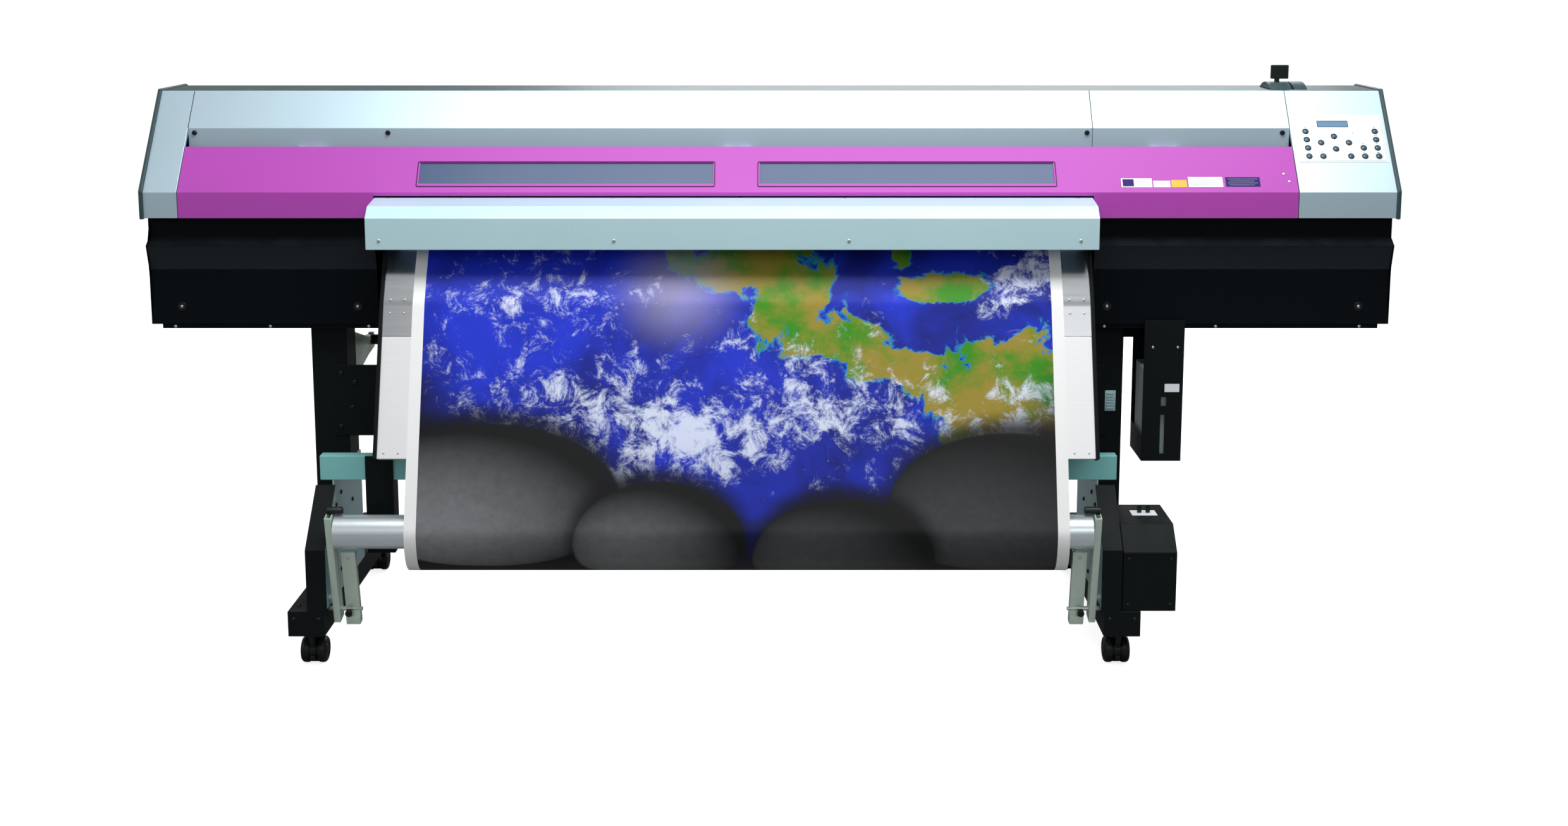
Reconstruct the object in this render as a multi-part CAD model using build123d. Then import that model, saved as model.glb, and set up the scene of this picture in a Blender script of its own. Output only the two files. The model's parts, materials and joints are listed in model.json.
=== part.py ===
from build123d import *
import os
from math import hypot

os.makedirs("parts", exist_ok=True)

# Wide-format printer cutter on a castered stand with a motor take-up.
# Front faces -Y, +X is the operator's right, the origin is on the floor under the middle.

# Overall body
body_half_width = 1350.0
side_panel_thickness = 8.0
shell_half_width = body_half_width - side_panel_thickness
body_front_y = -112.0
body_rear_y = 300.0
lip_z = 933.0
knee_z = 989.0
slope_run = 160.0
slope_rise = 207.0
shell_wall = 3.0
rear_wall = 2.0
rear_lip_z = 900.0
rear_knee_y = 225.0
rear_shoulder_z = 1105.0

# Stations across the machine
left_cap_x = -1270.0
right_cap_x = 1133.0
cover_seam_x = 703.0
panel_gap = 1.0
cover_gap = 1.5

# Lower body
tray_half_width = 1320.0
tray_bottom_z = 689.0
tray_top_z = 699.0
tray_wall = 2.0
tray_front_y = -91.0
tray_rear_y = 283.0
lower_top_z = 931.0
dryer_bay_left_x = -849.0
dryer_bay_right_x = 698.0
inner_frame_x = 1298.0
inner_frame_wall = 5.0

# Front cover and its hinge
hatch_length = 115.8
hinge_y = -28.0
hinge_z = 1070.0
hinge_pin_radius = 2.0
hinge_bore_clearance = 0.1
hinge_centres_x = (-1000.0, -72.0, 860.0)
window_low = 22.5
window_high = 74.5
window_spans_x = ((-754.0, -123.0), (-22.0, 610.0))
window_lap = 4.0
window_wall = 2.0
upper_panel_start = 163.2
upper_lip_drop = 50.0

# Control panel
button_columns_x = [1165.5 + 30.15 * i for i in range(6)]
button_rows = [90.4 + 21.2 * i for i in range(4)]
button_radius = 5.5
button_clearance = 0.3
button_proud = 3.0
button_depth = 6.0
overlay_wall = 1.0
overlay_x = (1143.0, 1335.0)
overlay_span = (76.0, 196.0)
display_x = (1193.0, 1260.0)
display_span = (165.0, 181.0)

# Loading lever
lever_x = 1138.0
lever_y = 130.0
lever_pivot_z = 1160.0
lever_pin_radius = 4.0
lever_slot_width = 12.0
lever_bore_clearance = 0.1

# Media path
media_centre_x = -67.0
media_width = 1371.0
media_thickness = 0.8
running_gap = 0.3
platen_top_z = 904.0
platen_thickness = 8.0
platen_front_y = -60.0
platen_rear_y = 90.0
guide_wall = 3.0

# Feed
grit_y = 60.0
grit_radius = 10.0
grit_shaft_radius = 6.0
grit_width = 24.0
grit_pitch = 175.0
grit_count = 8
shaft_clearance = 0.1
pinch_radius = 8.0
pinch_width = 16.0
pinch_axle_radius = 2.5
arm_pivot_y = 95.0
arm_pivot_z = 940.0
arm_shaft_radius = 5.0
hanger_stations_x = (-1190.0, -592.0, -67.0, 458.0, 1080.0)

# Carriage and rail
rail_y = (75.0, 115.0)
rail_z = (960.0, 1060.0)
carriage_x = (870.0, 1130.0)
cutter_x = (800.0, 866.0)
carriage_floor_z = 908.0

# Dryer
dryer_cover_x = (-846.0, 690.0)
dryer_plate_x = (-814.0, 676.0)
dryer_sheet = 2.0
dryer_frame_wall = 8.0

# Stand
leg_left_x = -969.0
leg_right_x = 737.0
stand_centre_x = (leg_left_x + leg_right_x) / 2
foot_width = 77.0
foot_front_y = -338.0
foot_rear_y = 372.0
foot_bottom_z = 80.0
foot_top_z = 135.0
stand_wall = 3.0
post_front_y = -57.0
post_rear_y = 28.0
caster_inset = 50.0
wheel_radius = 28.0
wheel_width = 20.0
wheel_inner = 7.0
wheel_trail = 18.0
wheel_axle_radius = 4.0
caster_stem_radius = 6.0
stay_z = (441.0, 601.0)

# Take-up
front_limit_y = -372.0
tube_radius = 35.0
tube_wall = 2.0
tube_z = 307.0
hang_gap = 1.4
sag_drawn_radius = 35.0
tube_y = front_limit_y + media_thickness + hang_gap + tube_radius
tube_half_length = 785.0
arm_width = 14.0
arm_wall = 2.5
arm_depth = 34.0
arm_bottom = 52.0
arm_top = 40.0
pivot_y = -301.0
pivot_z = 154.0
pivot_radius = 6.0
core_y = -209.0
core_z = 258.0
wound_radius = 45.0
core_radius = 41.5
core_shaft_radius = 12.0
beam_front_y = -227.0
beam_depth = 28.0
beam_z = (387.0, 440.0)
side_plate_wall = 3.0
brace_knee_z = 267.0
drive_x = (736.0, 848.0)

# Supply roll
supply_radius = 58.0
supply_core_radius = 38.0
supply_z = 600.0
supply_shaft_radius = 12.0
flange_radius = 66.0
flange_wall = 6.0


def block(x0, x1, y0, y1, z0, z1):
    """A box between six planes."""
    size = Box(x1 - x0, y1 - y0, z1 - z0)
    return Pos((x0 + x1) / 2, (y0 + y1) / 2, (z0 + z1) / 2) * size


def prism(outline, x0, x1):
    """A closed (y, z) outline carried along X."""
    face = make_face(Polyline(*outline, close=True))
    return extrude(Plane.YZ.offset(x0) * face, x1 - x0)


def rod(x0, x1, y, z, radius):
    """A round bar along X."""
    return Pos((x0 + x1) / 2, y, z) * Rot(0, 90, 0) * Cylinder(radius, x1 - x0)


def pipe(x0, x1, y, z, outer, inner):
    """A round tube along X."""
    return rod(x0, x1, y, z, outer) - rod(x0, x1, y, z, inner)


def post(x, y, z0, z1, radius):
    """A round bar along Z."""
    return Pos(x, y, (z0 + z1) / 2) * Cylinder(radius, z1 - z0)


def stud(x, z, y0, y1, radius):
    """A round bar along Y."""
    return Pos(x, (y0 + y1) / 2, z) * Rot(90, 0, 0) * Cylinder(radius, y1 - y0)


def shifted(outline, distance):
    """The open (y, z) outline moved to the right of its own direction, with mitred corners."""
    steps = []
    for (y0, z0), (y1, z1) in zip(outline, outline[1:]):
        length = hypot(y1 - y0, z1 - z0)
        steps.append(((z1 - z0) / length, (y0 - y1) / length))
    normals = [(steps[0], steps[0])] + list(zip(steps, steps[1:])) + [(steps[-1], steps[-1])]
    moved = []
    for (y, z), (a, b) in zip(outline, normals):
        share = distance / (1 + a[0] * b[0] + a[1] * b[1])
        moved.append((y + (a[0] + b[0]) * share, z + (a[1] + b[1]) * share))
    return moved


def folded(outline, wall, x0, x1):
    """Sheet bent along an open (y, z) outline, its wall on the right of the outline."""
    return prism(list(outline) + shifted(outline, wall)[::-1], x0, x1)


def save(name, *shapes):
    """Write one node; its separate solids stay separate."""
    solids = []
    for shape in shapes:
        solids.extend(shape.solids())
    export_step(solids[0] if len(solids) == 1 else Compound(solids), f"parts/{name}.step")


slope_length = hypot(slope_run, slope_rise)
slope_dir = (slope_run / slope_length, slope_rise / slope_length)
crest_y = body_front_y + slope_run
crest_z = knee_z + slope_rise
flange_top_z = crest_z - rear_wall
flange_reach = 24.0


def on_slope(distance):
    """The (y, z) point a distance up the sloping front from its knee."""
    return (body_front_y + slope_dir[0] * distance, knee_z + slope_dir[1] * distance)


def slope_plane(x, distance, outward=0.0):
    """A plane on the sloping front: local X along the machine, local Y up the slope."""
    y, z = on_slope(distance)
    origin = (x, y - slope_dir[1] * outward, z + slope_dir[0] * outward)
    return Plane(origin=origin, x_dir=(1, 0, 0), z_dir=(0, -slope_dir[1], slope_dir[0]))


def slope_block(x0, x1, low, high, below, above):
    """A box lying on the sloping front between two distances up it."""
    plane = slope_plane((x0 + x1) / 2, (low + high) / 2, (above - below) / 2)
    return plane * Box(x1 - x0, high - low, above + below)


def slope_rod(x, distance, below, above, radius):
    """A round bar square to the sloping front."""
    return slope_plane(x, distance, (above - below) / 2) * Cylinder(radius, above + below)


def hidden_flange(x0, x1):
    """The strip under the rear cover that a front panel is held by."""
    return block(x0, x1, crest_y, crest_y + flange_reach, flange_top_z - shell_wall, flange_top_z)


front_outline = [(body_front_y, lip_z), (body_front_y, knee_z), (crest_y, crest_z)]
lower_outline = [
    (-60.0, tray_top_z), (-95.0, tray_top_z), (-95.0, 820.0), (-110.0, 873.0),
    (-87.0, 888.0), (-87.0, lower_top_z), (-60.0, lower_top_z),
]
rear_outline = [
    (crest_y + shell_wall, crest_z), (rear_knee_y, crest_z),
    (body_rear_y, rear_shoulder_z), (body_rear_y, rear_lip_z),
]
guide_outline = [
    (tray_rear_y, tray_top_z), (tray_rear_y, 805.0), (272.0, 838.0), (250.0, 866.0),
    (215.0, 886.0), (165.0, 899.0), (platen_rear_y + 30.0, platen_top_z),
    (platen_rear_y, platen_top_z),
]
upper_plate_outline = [
    (-229.0, 699.5), (-205.0, 764.0), (-172.0, 822.0), (-140.0, 868.0),
    (-115.0, 889.0), (-88.0, 900.0), (platen_front_y - 2.0, platen_top_z - 0.5),
]
lower_plate_outline = [(-296.0, 450.0), (-319.5, 458.5), (-229.4, 698.4)]

brace_wall = 2.0
brace_outline = [
    (foot_front_y, foot_top_z), (foot_front_y, brace_knee_z),
    (beam_front_y - 1.0, brace_knee_z + beam_front_y - 1.0 - foot_front_y),
]
grit_z = platen_top_z - grit_radius
pinch_z = platen_top_z + 2 * running_gap + media_thickness + pinch_radius
feed_stations = [media_centre_x + (i - (grit_count - 1) / 2) * grit_pitch for i in range(grit_count)]
post_top_z = tray_top_z - tray_wall


def chassis_frame():
    """Base tray, side plates, inner frames, main beam and the blocks that stand on it."""
    tray = block(-tray_half_width, tray_half_width, tray_front_y, tray_rear_y, tray_bottom_z, tray_top_z)
    tray -= block(
        -tray_half_width + tray_wall, tray_half_width - tray_wall,
        tray_front_y + tray_wall, tray_rear_y - tray_wall, tray_bottom_z, post_top_z,
    )
    pieces = [tray]
    back = body_rear_y - rear_wall
    side_outline = lower_outline[1:-1] + [(back, lower_top_z), (back, tray_top_z)]
    inner_outline = shifted(front_outline, shell_wall)
    inner_outline[-1] = (crest_y + flange_reach, flange_top_z - shell_wall)
    frame_outline = [(-60.0, tray_top_z), (-60.0, lip_z)] + inner_outline + [
        (crest_y + flange_reach, flange_top_z), *shifted(rear_outline, rear_wall)[1:],
        (tray_rear_y - guide_wall - 4.0, rear_lip_z - 150.0), (tray_rear_y - guide_wall - 4.0, tray_top_z),
    ]
    for side in (-1, 1):
        outer = sorted((side * shell_half_width, side * (shell_half_width - shell_wall)))
        foot = sorted((side * (shell_half_width - shell_wall), side * (inner_frame_x + inner_frame_wall)))
        plate = prism(side_outline, *outer)
        plate += block(foot[0], foot[1], -60.0, 270.0, tray_top_z, tray_top_z + shell_wall)
        pieces.append(plate)
        inner = sorted((side * inner_frame_x, side * (inner_frame_x + inner_frame_wall)))
        pieces.append(prism(frame_outline, *inner))
    beam = block(-inner_frame_x, inner_frame_x, 0.0, platen_rear_y, 760.0, 860.0)
    beam -= block(-inner_frame_x, inner_frame_x, 4.0, platen_rear_y - 4.0, 764.0, 856.0)
    pieces.append(beam)
    bar = block(dryer_bay_left_x, dryer_bay_right_x, -85.0, -45.0, tray_top_z, 740.0)
    bar -= block(dryer_bay_left_x, dryer_bay_right_x, -82.0, -48.0, tray_top_z + 3.0, 737.0)
    pieces.append(bar)
    for x in hanger_stations_x:
        cradle = block(x - 6.0, x + 6.0, grit_y - 10.0, grit_y + 10.0, 860.0, grit_z)
        cradle -= rod(x - 6.0, x + 6.0, grit_y, grit_z, grit_shaft_radius + shaft_clearance)
        pieces.append(cradle)
        pieces.append(block(x - 15.0, x + 15.0, 4.0, 20.0, 860.0, platen_top_z - platen_thickness))
    return pieces


def end_covers():
    """The two moulded caps; the right one is pierced for the buttons."""
    caps = []
    for x0, x1, rim in ((-shell_half_width, left_cap_x, left_cap_x - shell_wall),
                        (right_cap_x, shell_half_width, right_cap_x)):
        cap = folded(front_outline, shell_wall, x0, x1)
        cap += hidden_flange(x0, x1)
        cap += folded(front_outline, 3 * shell_wall, rim, rim + shell_wall)
        caps.append(cap)
    for x, distance in button_places.values():
        caps[1] -= slope_rod(x, distance, 10.0, 10.0, button_radius + button_clearance)
    return caps


def side_panels():
    """The dark side cheeks, standing slightly proud of the caps."""
    outline = [
        (-117.0, lower_top_z), (-117.0, 992.0), (44.0, 1200.0), (rear_knee_y, 1200.0),
        (body_rear_y + 4.0, rear_shoulder_z + 2.0), (body_rear_y + 4.0, lower_top_z),
    ]
    return [
        prism(outline, -body_half_width, -shell_half_width),
        prism(outline, shell_half_width, body_half_width),
    ]


def upper_front_covers():
    """The two panels above the hatch, each with a lip, and the fixed halves of the hinges."""
    start = on_slope(upper_panel_start)
    outline = [(start[0], start[1] - upper_lip_drop), start, (crest_y, crest_z)]
    panels = []
    for x0, x1 in ((left_cap_x, cover_seam_x), (cover_seam_x, right_cap_x)):
        panel = folded(outline, shell_wall, x0 + panel_gap / 2, x1 - panel_gap / 2)
        panel += hidden_flange(x0 + panel_gap / 2, x1 - panel_gap / 2)
        panels.append(panel)
    for x in hinge_centres_x:
        ears = rod(x - 30.0, x + 30.0, hinge_y, hinge_z, 5.0)
        ears += block(x - 30.0, x + 30.0, hinge_y, start[0], hinge_z - 4.0, hinge_z + 4.0)
        ears -= block(x - 15.5, x + 15.5, hinge_y - 6.0, start[0] - 4.0, hinge_z - 8.0, hinge_z + 8.0)
        ears += rod(x - 16.0, x + 16.0, hinge_y, hinge_z, hinge_pin_radius)
        index = 0 if x < cover_seam_x else 1
        panels[index] += ears
    return panels


def front_cover():
    """The hinged hatch with two window openings and a raised lip over the dryer."""
    x0 = left_cap_x + cover_gap
    x1 = right_cap_x - cover_gap
    outline = front_outline[:2] + [on_slope(hatch_length)]
    hatch = folded(outline, shell_wall, x0, x1)
    hatch -= block(
        dryer_bay_left_x, dryer_bay_right_x - 5.0, body_front_y - 5.0, body_front_y + 5.0, 900.0, 981.0,
    )
    for window in window_spans_x:
        hatch -= slope_block(*window, window_low, window_high, 10.0, 10.0)
    for x in hinge_centres_x:
        edge = on_slope(hatch_length)
        root = shifted([on_slope(hatch_length - 20.0), edge], shell_wall - 0.5)
        knuckle = prism([root[0], root[1], (hinge_y, hinge_z + 5.0), (hinge_y, hinge_z - 5.0)], x - 15.0, x + 15.0)
        knuckle += rod(x - 15.0, x + 15.0, hinge_y, hinge_z, 5.0)
        knuckle -= rod(x - 15.0, x + 15.0, hinge_y, hinge_z, hinge_pin_radius + hinge_bore_clearance)
        hatch += knuckle
    return hatch


def cover_windows():
    """Clear panes seated against the inside of the hatch."""
    panes = []
    for x0, x1 in window_spans_x:
        panes.append(slope_block(
            x0 - window_lap, x1 + window_lap, window_low - window_lap, window_high + window_lap,
            shell_wall + window_wall, -shell_wall,
        ))
    return panes


def rear_cover():
    """One bent sheet over the top and back, slotted for the lever."""
    cover = folded(rear_outline, rear_wall, -shell_half_width, shell_half_width)
    return cover - lever_slot()


def lever_slot():
    """The opening that the lever swings in."""
    half = lever_slot_width / 2
    return block(lever_x - half, lever_x + half, lever_y - 12.0, lever_y + 42.0, 1180.0, 1220.0)


def lever_housing():
    """Two rounded humps on the rear cover and the ears that carry the lever's pin."""
    humps = []
    rise = 15.0
    radius = (50.0 ** 2 + rise ** 2) / (2 * rise)
    for x0, x1 in ((1112.0, 1160.0), (1164.0, 1194.0)):
        hump = rod(x0, x1, lever_y, crest_z + rise - radius, radius)
        hump &= block(x0, x1, lever_y - 60.0, lever_y + 60.0, crest_z, crest_z + 30.0)
        humps.append(hump)
    humps[0] -= lever_slot()
    outer = lever_slot_width / 2 + 4.0
    ears = block(lever_x - outer, lever_x + outer, lever_y - 14.0, lever_y + 14.0, lever_pivot_z - 14.0, flange_top_z)
    ears -= block(
        lever_x - lever_slot_width / 2, lever_x + lever_slot_width / 2,
        lever_y - 15.0, lever_y + 15.0, lever_pivot_z - 15.0, flange_top_z + 1.0,
    )
    ears += rod(lever_x - outer, lever_x + outer, lever_y, lever_pivot_z, lever_pin_radius)
    return humps + [ears]


def loading_lever():
    """Hub, stalk and paddle knob."""
    lever = rod(lever_x - 4.0, lever_x + 4.0, lever_y, lever_pivot_z, 10.0)
    lever += block(lever_x - 4.0, lever_x + 4.0, lever_y - 5.0, lever_y + 5.0, lever_pivot_z + 6.0, 1222.0)
    lever -= rod(lever_x - 4.0, lever_x + 4.0, lever_y, lever_pivot_z, lever_pin_radius + lever_bore_clearance)
    knob = fillet(block(lever_x - 14.0, lever_x + 25.0, lever_y - 5.0, lever_y + 5.0, 1217.0, 1248.0).edges(), 2.0)
    return lever + knob


def lower_front_covers():
    """The two black lower fronts, closed at the dryer bay."""
    covers = []
    spans = (
        (-shell_half_width + shell_wall, dryer_bay_left_x, dryer_bay_left_x - tray_wall),
        (dryer_bay_right_x, shell_half_width - shell_wall, dryer_bay_right_x),
    )
    for x0, x1, wall_x in spans:
        cover = folded(lower_outline, tray_wall, x0, x1)
        cover += prism(lower_outline, wall_x, wall_x + tray_wall)
        covers.append(cover)
    return covers


def control_panel():
    """The overlay plate with its holes, and the display window set in it."""
    overlay = slope_block(*overlay_x, *overlay_span, 0.0, overlay_wall)
    for x, distance in button_places.values():
        overlay -= slope_rod(x, distance, 5.0, 5.0, button_radius + button_clearance)
    overlay -= slope_block(*display_x, *display_span, 5.0, 5.0)
    display = slope_block(*display_x, *display_span, 0.0, overlay_wall / 2)
    return [overlay, display]


def platen():
    """The flat print bed with slots for the grit rollers, and the curved rear guide."""
    bed = block(
        -1260.0, right_cap_x - 10.0, platen_front_y, platen_rear_y, platen_top_z - platen_thickness, platen_top_z,
    )
    for x in feed_stations:
        bed -= block(
            x - grit_width / 2 - 2.0, x + grit_width / 2 + 2.0,
            grit_y - grit_radius - 2.0, grit_y + grit_radius + 2.0, 890.0, 910.0,
        )
    groove = grit_shaft_radius + 1.0
    bed -= block(-1260.0, right_cap_x, grit_y - groove, grit_y + groove, 890.0, grit_z + groove)
    guide = folded(guide_outline[::-1], guide_wall, -inner_frame_x, inner_frame_x)
    return [bed, guide]


def carriage_rail():
    """The hollow rail across the machine with the hangers of the pinch shaft."""
    rail = block(-inner_frame_x, inner_frame_x, *rail_y, *rail_z)
    rail -= block(
        -inner_frame_x, inner_frame_x, rail_y[0] + 4.0, rail_y[1] - 4.0, rail_z[0] + 4.0, rail_z[1] - 4.0,
    )
    pieces = [rail]
    for x in hanger_stations_x:
        hanger = block(x - 4.0, x + 4.0, arm_pivot_y - 9.0, arm_pivot_y + 9.0, arm_pivot_z - 10.0, rail_z[0])
        hanger -= rod(x - 4.0, x + 4.0, arm_pivot_y, arm_pivot_z, arm_shaft_radius + shaft_clearance)
        pieces.append(hanger)
    return pieces


def print_carriage():
    """The head carriage, its two heads and the cutting carriage beside it."""
    reach = rail_y[0] - running_gap
    body = prism([
        (-40.0, carriage_floor_z), (40.0, carriage_floor_z), (40.0, 963.0), (reach, 963.0),
        (reach, 1056.0), (-22.0, 1056.0), (-40.0, 1035.0),
    ], *carriage_x)
    pieces = [body]
    for offset in (35.0, 120.0):
        x = carriage_x[0] + offset
        pieces.append(block(x, x + 60.0, -20.0, 20.0, carriage_floor_z - 2.0, carriage_floor_z))
    pieces.append(prism([
        (-25.0, 930.0), (40.0, 930.0), (40.0, 963.0), (reach, 963.0), (reach, 1030.0), (-25.0, 1030.0),
    ], *cutter_x))
    middle = (cutter_x[0] + cutter_x[1]) / 2
    pieces.append(post(middle, -34.0, carriage_floor_z, 990.0, 9.0))
    pieces.append(block(cutter_x[1], carriage_x[0], -10.0, 30.0, 980.0, 1000.0))
    return pieces


def drive_units():
    """Feed motor, carriage motor with its pulley, idler pulley and the toothed belt."""
    belt_y = (rail_y[0] + rail_y[1]) / 2
    belt_z = (1063.0, 1073.0)
    pulley = 12.0
    feed_motor = block(1140.0, 1200.0, 30.0, platen_rear_y, 860.0, 922.0)
    drive_x0 = -1240.0
    motor = block(drive_x0 - 22.0, drive_x0 + 22.0, belt_y - 22.0, belt_y + 22.0, 1074.0, 1124.0)
    motor += block(-inner_frame_x, drive_x0, belt_y - 15.0, belt_y + 15.0, 1090.0, 1096.0)
    motor += post(drive_x0, belt_y, belt_z[0], 1074.0, pulley)
    idler_x = 1240.0
    idler = post(idler_x, belt_y, rail_z[1], 1076.0, 3.0)
    idler += post(idler_x, belt_y, *belt_z, pulley)
    outer = pulley + 1.5
    belt = block(drive_x0, idler_x, belt_y - outer, belt_y + outer, 1064.0, 1072.0)
    belt += post(drive_x0, belt_y, 1064.0, 1072.0, outer)
    belt += post(idler_x, belt_y, 1064.0, 1072.0, outer)
    belt -= block(drive_x0, idler_x, belt_y - pulley, belt_y + pulley, 1064.0, 1072.0)
    belt -= post(drive_x0, belt_y, 1064.0, 1072.0, pulley)
    belt -= post(idler_x, belt_y, 1064.0, 1072.0, pulley)
    return [feed_motor, motor, idler, belt]


def ink_and_capping_unit():
    """The capping station at the right and the row of ink cartridges at the back left."""
    pieces = []
    station = block(880.0, 1120.0, -40.0, -2.0, tray_top_z, 890.0)
    pieces.append(station)
    for offset in (35.0, 120.0):
        x = carriage_x[0] + offset
        cap = block(x, x + 60.0, -38.0, -4.0, 890.0, 895.7)
        pieces.append(cap)
    rack = block(-1280.0, -1080.0, 150.0, 275.0, tray_top_z, 705.0)
    pieces.append(rack)
    for i in range(6):
        x = -1272.0 + 32.0 * i
        pieces.append(block(x, x + 24.0, 155.0, 270.0, 705.0, 790.0))
    return pieces


def media_outline():
    """The media's inner face from the supply roll to the take-up roll."""
    bed = [(platen_front_y, platen_top_z)]
    support = [(tray_rear_y, supply_z)] + guide_outline[1:-1] + bed + upper_plate_outline[-2::-1]
    run = shifted(support + [lower_plate_outline[1]], running_gap)
    sag = tube_radius / sag_drawn_radius
    bend = [
        (-34.3, 12.2), (-sag_drawn_radius - hang_gap / sag, 0.0), (-33.0, -32.0), (-22.0, -60.0),
        (-2.0, -80.0), (28.0, -92.0), (68.0, -98.0),
    ]
    hang = [(tube_y + across * sag, tube_z + up * sag) for across, up in bend]
    return run + hang + [
        (core_y - 25.0, core_z - wound_radius - 3.5), (core_y, core_z - wound_radius - running_gap),
    ]


def media_sheet():
    """The printed web, one closed thin solid."""
    half = media_width / 2
    return folded(media_outline(), media_thickness, media_centre_x - half, media_centre_x + half)


def dryer_cover():
    """The bent hood over the dryer with closed ends."""
    x0, x1 = dryer_cover_x
    outline = [(-213.0, 880.0), (-213.0, 947.0), (-187.0, 969.0), (-114.5, 978.0)]
    hood = folded(outline, dryer_sheet, x0, x1)
    end = outline + [(-114.5, 925.0), (-140.0, 880.0)]
    hood += prism(end, x0, x0 + dryer_sheet)
    hood += prism(end, x1 - dryer_sheet, x1)
    return hood


def dryer_plates():
    """Upper and lower heated plates that the media slides down."""
    return [
        folded(upper_plate_outline, dryer_sheet, *dryer_plate_x),
        folded(lower_plate_outline, dryer_sheet, *dryer_plate_x),
    ]


def dryer_side_frames():
    """Black side frames that tie the plates and the hood to the body."""
    outline = [
        (-85.0, 700.0), (-85.0, 925.0), (-118.0, 925.0), (-118.0, 972.0), (-186.0, 964.0), (-209.0, 945.0),
        (-209.0, 884.0), (-152.0, 870.0), (-209.0, 764.0), (-233.0, 699.0), (-323.0, 459.0), (-298.0, 449.0),
        (-240.0, 560.0), (-160.0, 650.0), (-100.0, 700.0),
    ]
    frames = []
    left = dryer_plate_x[0] - dryer_frame_wall
    right = dryer_plate_x[1] + dryer_frame_wall
    spans = (
        (left, left + dryer_frame_wall, dryer_cover_x[0] + dryer_sheet, left),
        (right - dryer_frame_wall, right, right, dryer_cover_x[1] - dryer_sheet),
    )
    for x0, x1, tie0, tie1 in spans:
        frame = prism(outline, x0, x1)
        frame += block(tie0, tie1, -180.0, -150.0, 900.0, 930.0)
        frames.append(frame)
    return frames


def stand_frame():
    """Two legs with their feet, the stay between them and the supply roll cradles."""
    pieces = []
    half = foot_width / 2
    for x in (leg_left_x, leg_right_x):
        leg = block(x - half, x + half, foot_front_y, foot_rear_y, foot_bottom_z, foot_top_z)
        leg -= block(
            x - half + stand_wall, x + half - stand_wall,
            foot_front_y + stand_wall, foot_rear_y - stand_wall, foot_bottom_z, foot_top_z - stand_wall,
        )
        column = block(x - half, x + half, post_front_y, post_rear_y, foot_top_z, post_top_z)
        column -= block(
            x - half + stand_wall, x + half - stand_wall,
            post_front_y + stand_wall, post_rear_y - stand_wall, foot_top_z, post_top_z,
        )
        gusset = [(post_rear_y, foot_top_z), (post_rear_y, 255.0), (post_rear_y + 120.0, foot_top_z)]
        for y in (foot_front_y + caster_inset, foot_rear_y - caster_inset):
            seat = block(
                x - half + stand_wall, x + half - stand_wall, y - 30.0, y + 30.0, foot_bottom_z, foot_bottom_z + 6.0,
            )
            seat -= post(x, y, foot_bottom_z, foot_bottom_z + 6.0, caster_stem_radius + shaft_clearance)
            leg += seat
        pieces += [leg, column, prism(gusset, x - 2.0, x + 2.0)]
    stay = block(leg_left_x + 7.0, leg_right_x + 2.0, post_front_y - 3.0, post_front_y, *stay_z)
    pieces.append(stay)
    supply_y = tray_rear_y - supply_radius
    for x in (leg_left_x + 25.0, leg_right_x - 25.0):
        cradle = prism([
            (post_rear_y, 540.0), (post_rear_y, 660.0), (190.0, 614.0), (supply_y + 26.0, 614.0),
            (supply_y + 26.0, 578.0), (190.0, 572.0),
        ], x - 6.0, x + 6.0)
        cradle -= rod(x - 6.0, x + 6.0, supply_y, supply_z, supply_shaft_radius + shaft_clearance)
        cradle -= block(
            x - 6.0, x + 6.0, supply_y - supply_shaft_radius - shaft_clearance,
            supply_y + supply_shaft_radius + shaft_clearance, supply_z, 640.0,
        )
        pieces.append(cradle)
    return pieces


def take_up_frame():
    """The cross beam and the two side plates bolted to the legs."""
    half = foot_width / 2
    top = beam_z[0]
    cover_back = shifted(brace_outline, brace_wall)
    outline = cover_back + [(cover_back[-1][0], top), (post_rear_y, top), (post_rear_y, foot_top_z)]
    pieces = [block(leg_left_x + 13.0, leg_right_x, beam_front_y, beam_front_y + beam_depth, *beam_z)]
    left_x = leg_left_x + half
    right_x = leg_right_x - half - side_plate_wall
    bore = core_shaft_radius + shaft_clearance
    for x in (left_x, right_x):
        plate = prism(outline, x, x + side_plate_wall)
        plate -= rod(x, x + side_plate_wall, pivot_y, pivot_z, pivot_radius + shaft_clearance)
        pieces.append(plate)
    pieces[2] -= rod(right_x, right_x + side_plate_wall, core_y, core_z, bore)
    return pieces


def take_up_brackets():
    """The folded leg covers in front of the side plates and the core's outboard bearing."""
    pieces = []
    for x0, x1 in ((-966.0, -924.0), (stand_centre_x * 2 + 924.0, stand_centre_x * 2 + 966.0)):
        pieces.append(folded(brace_outline, brace_wall, x0, x1))
    bracket = block(-859.0, -800.0, beam_front_y - 5.0, beam_front_y, core_z - 30.0, beam_z[1])
    for x in (-859.0, -803.0):
        bracket += block(x, x + 3.0, beam_front_y - 5.0, core_y + 25.0, core_z - 30.0, beam_z[0])
    bracket -= rod(-803.0, -800.0, core_y, core_z, core_shaft_radius + shaft_clearance)
    pieces.append(bracket)
    return pieces


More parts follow.
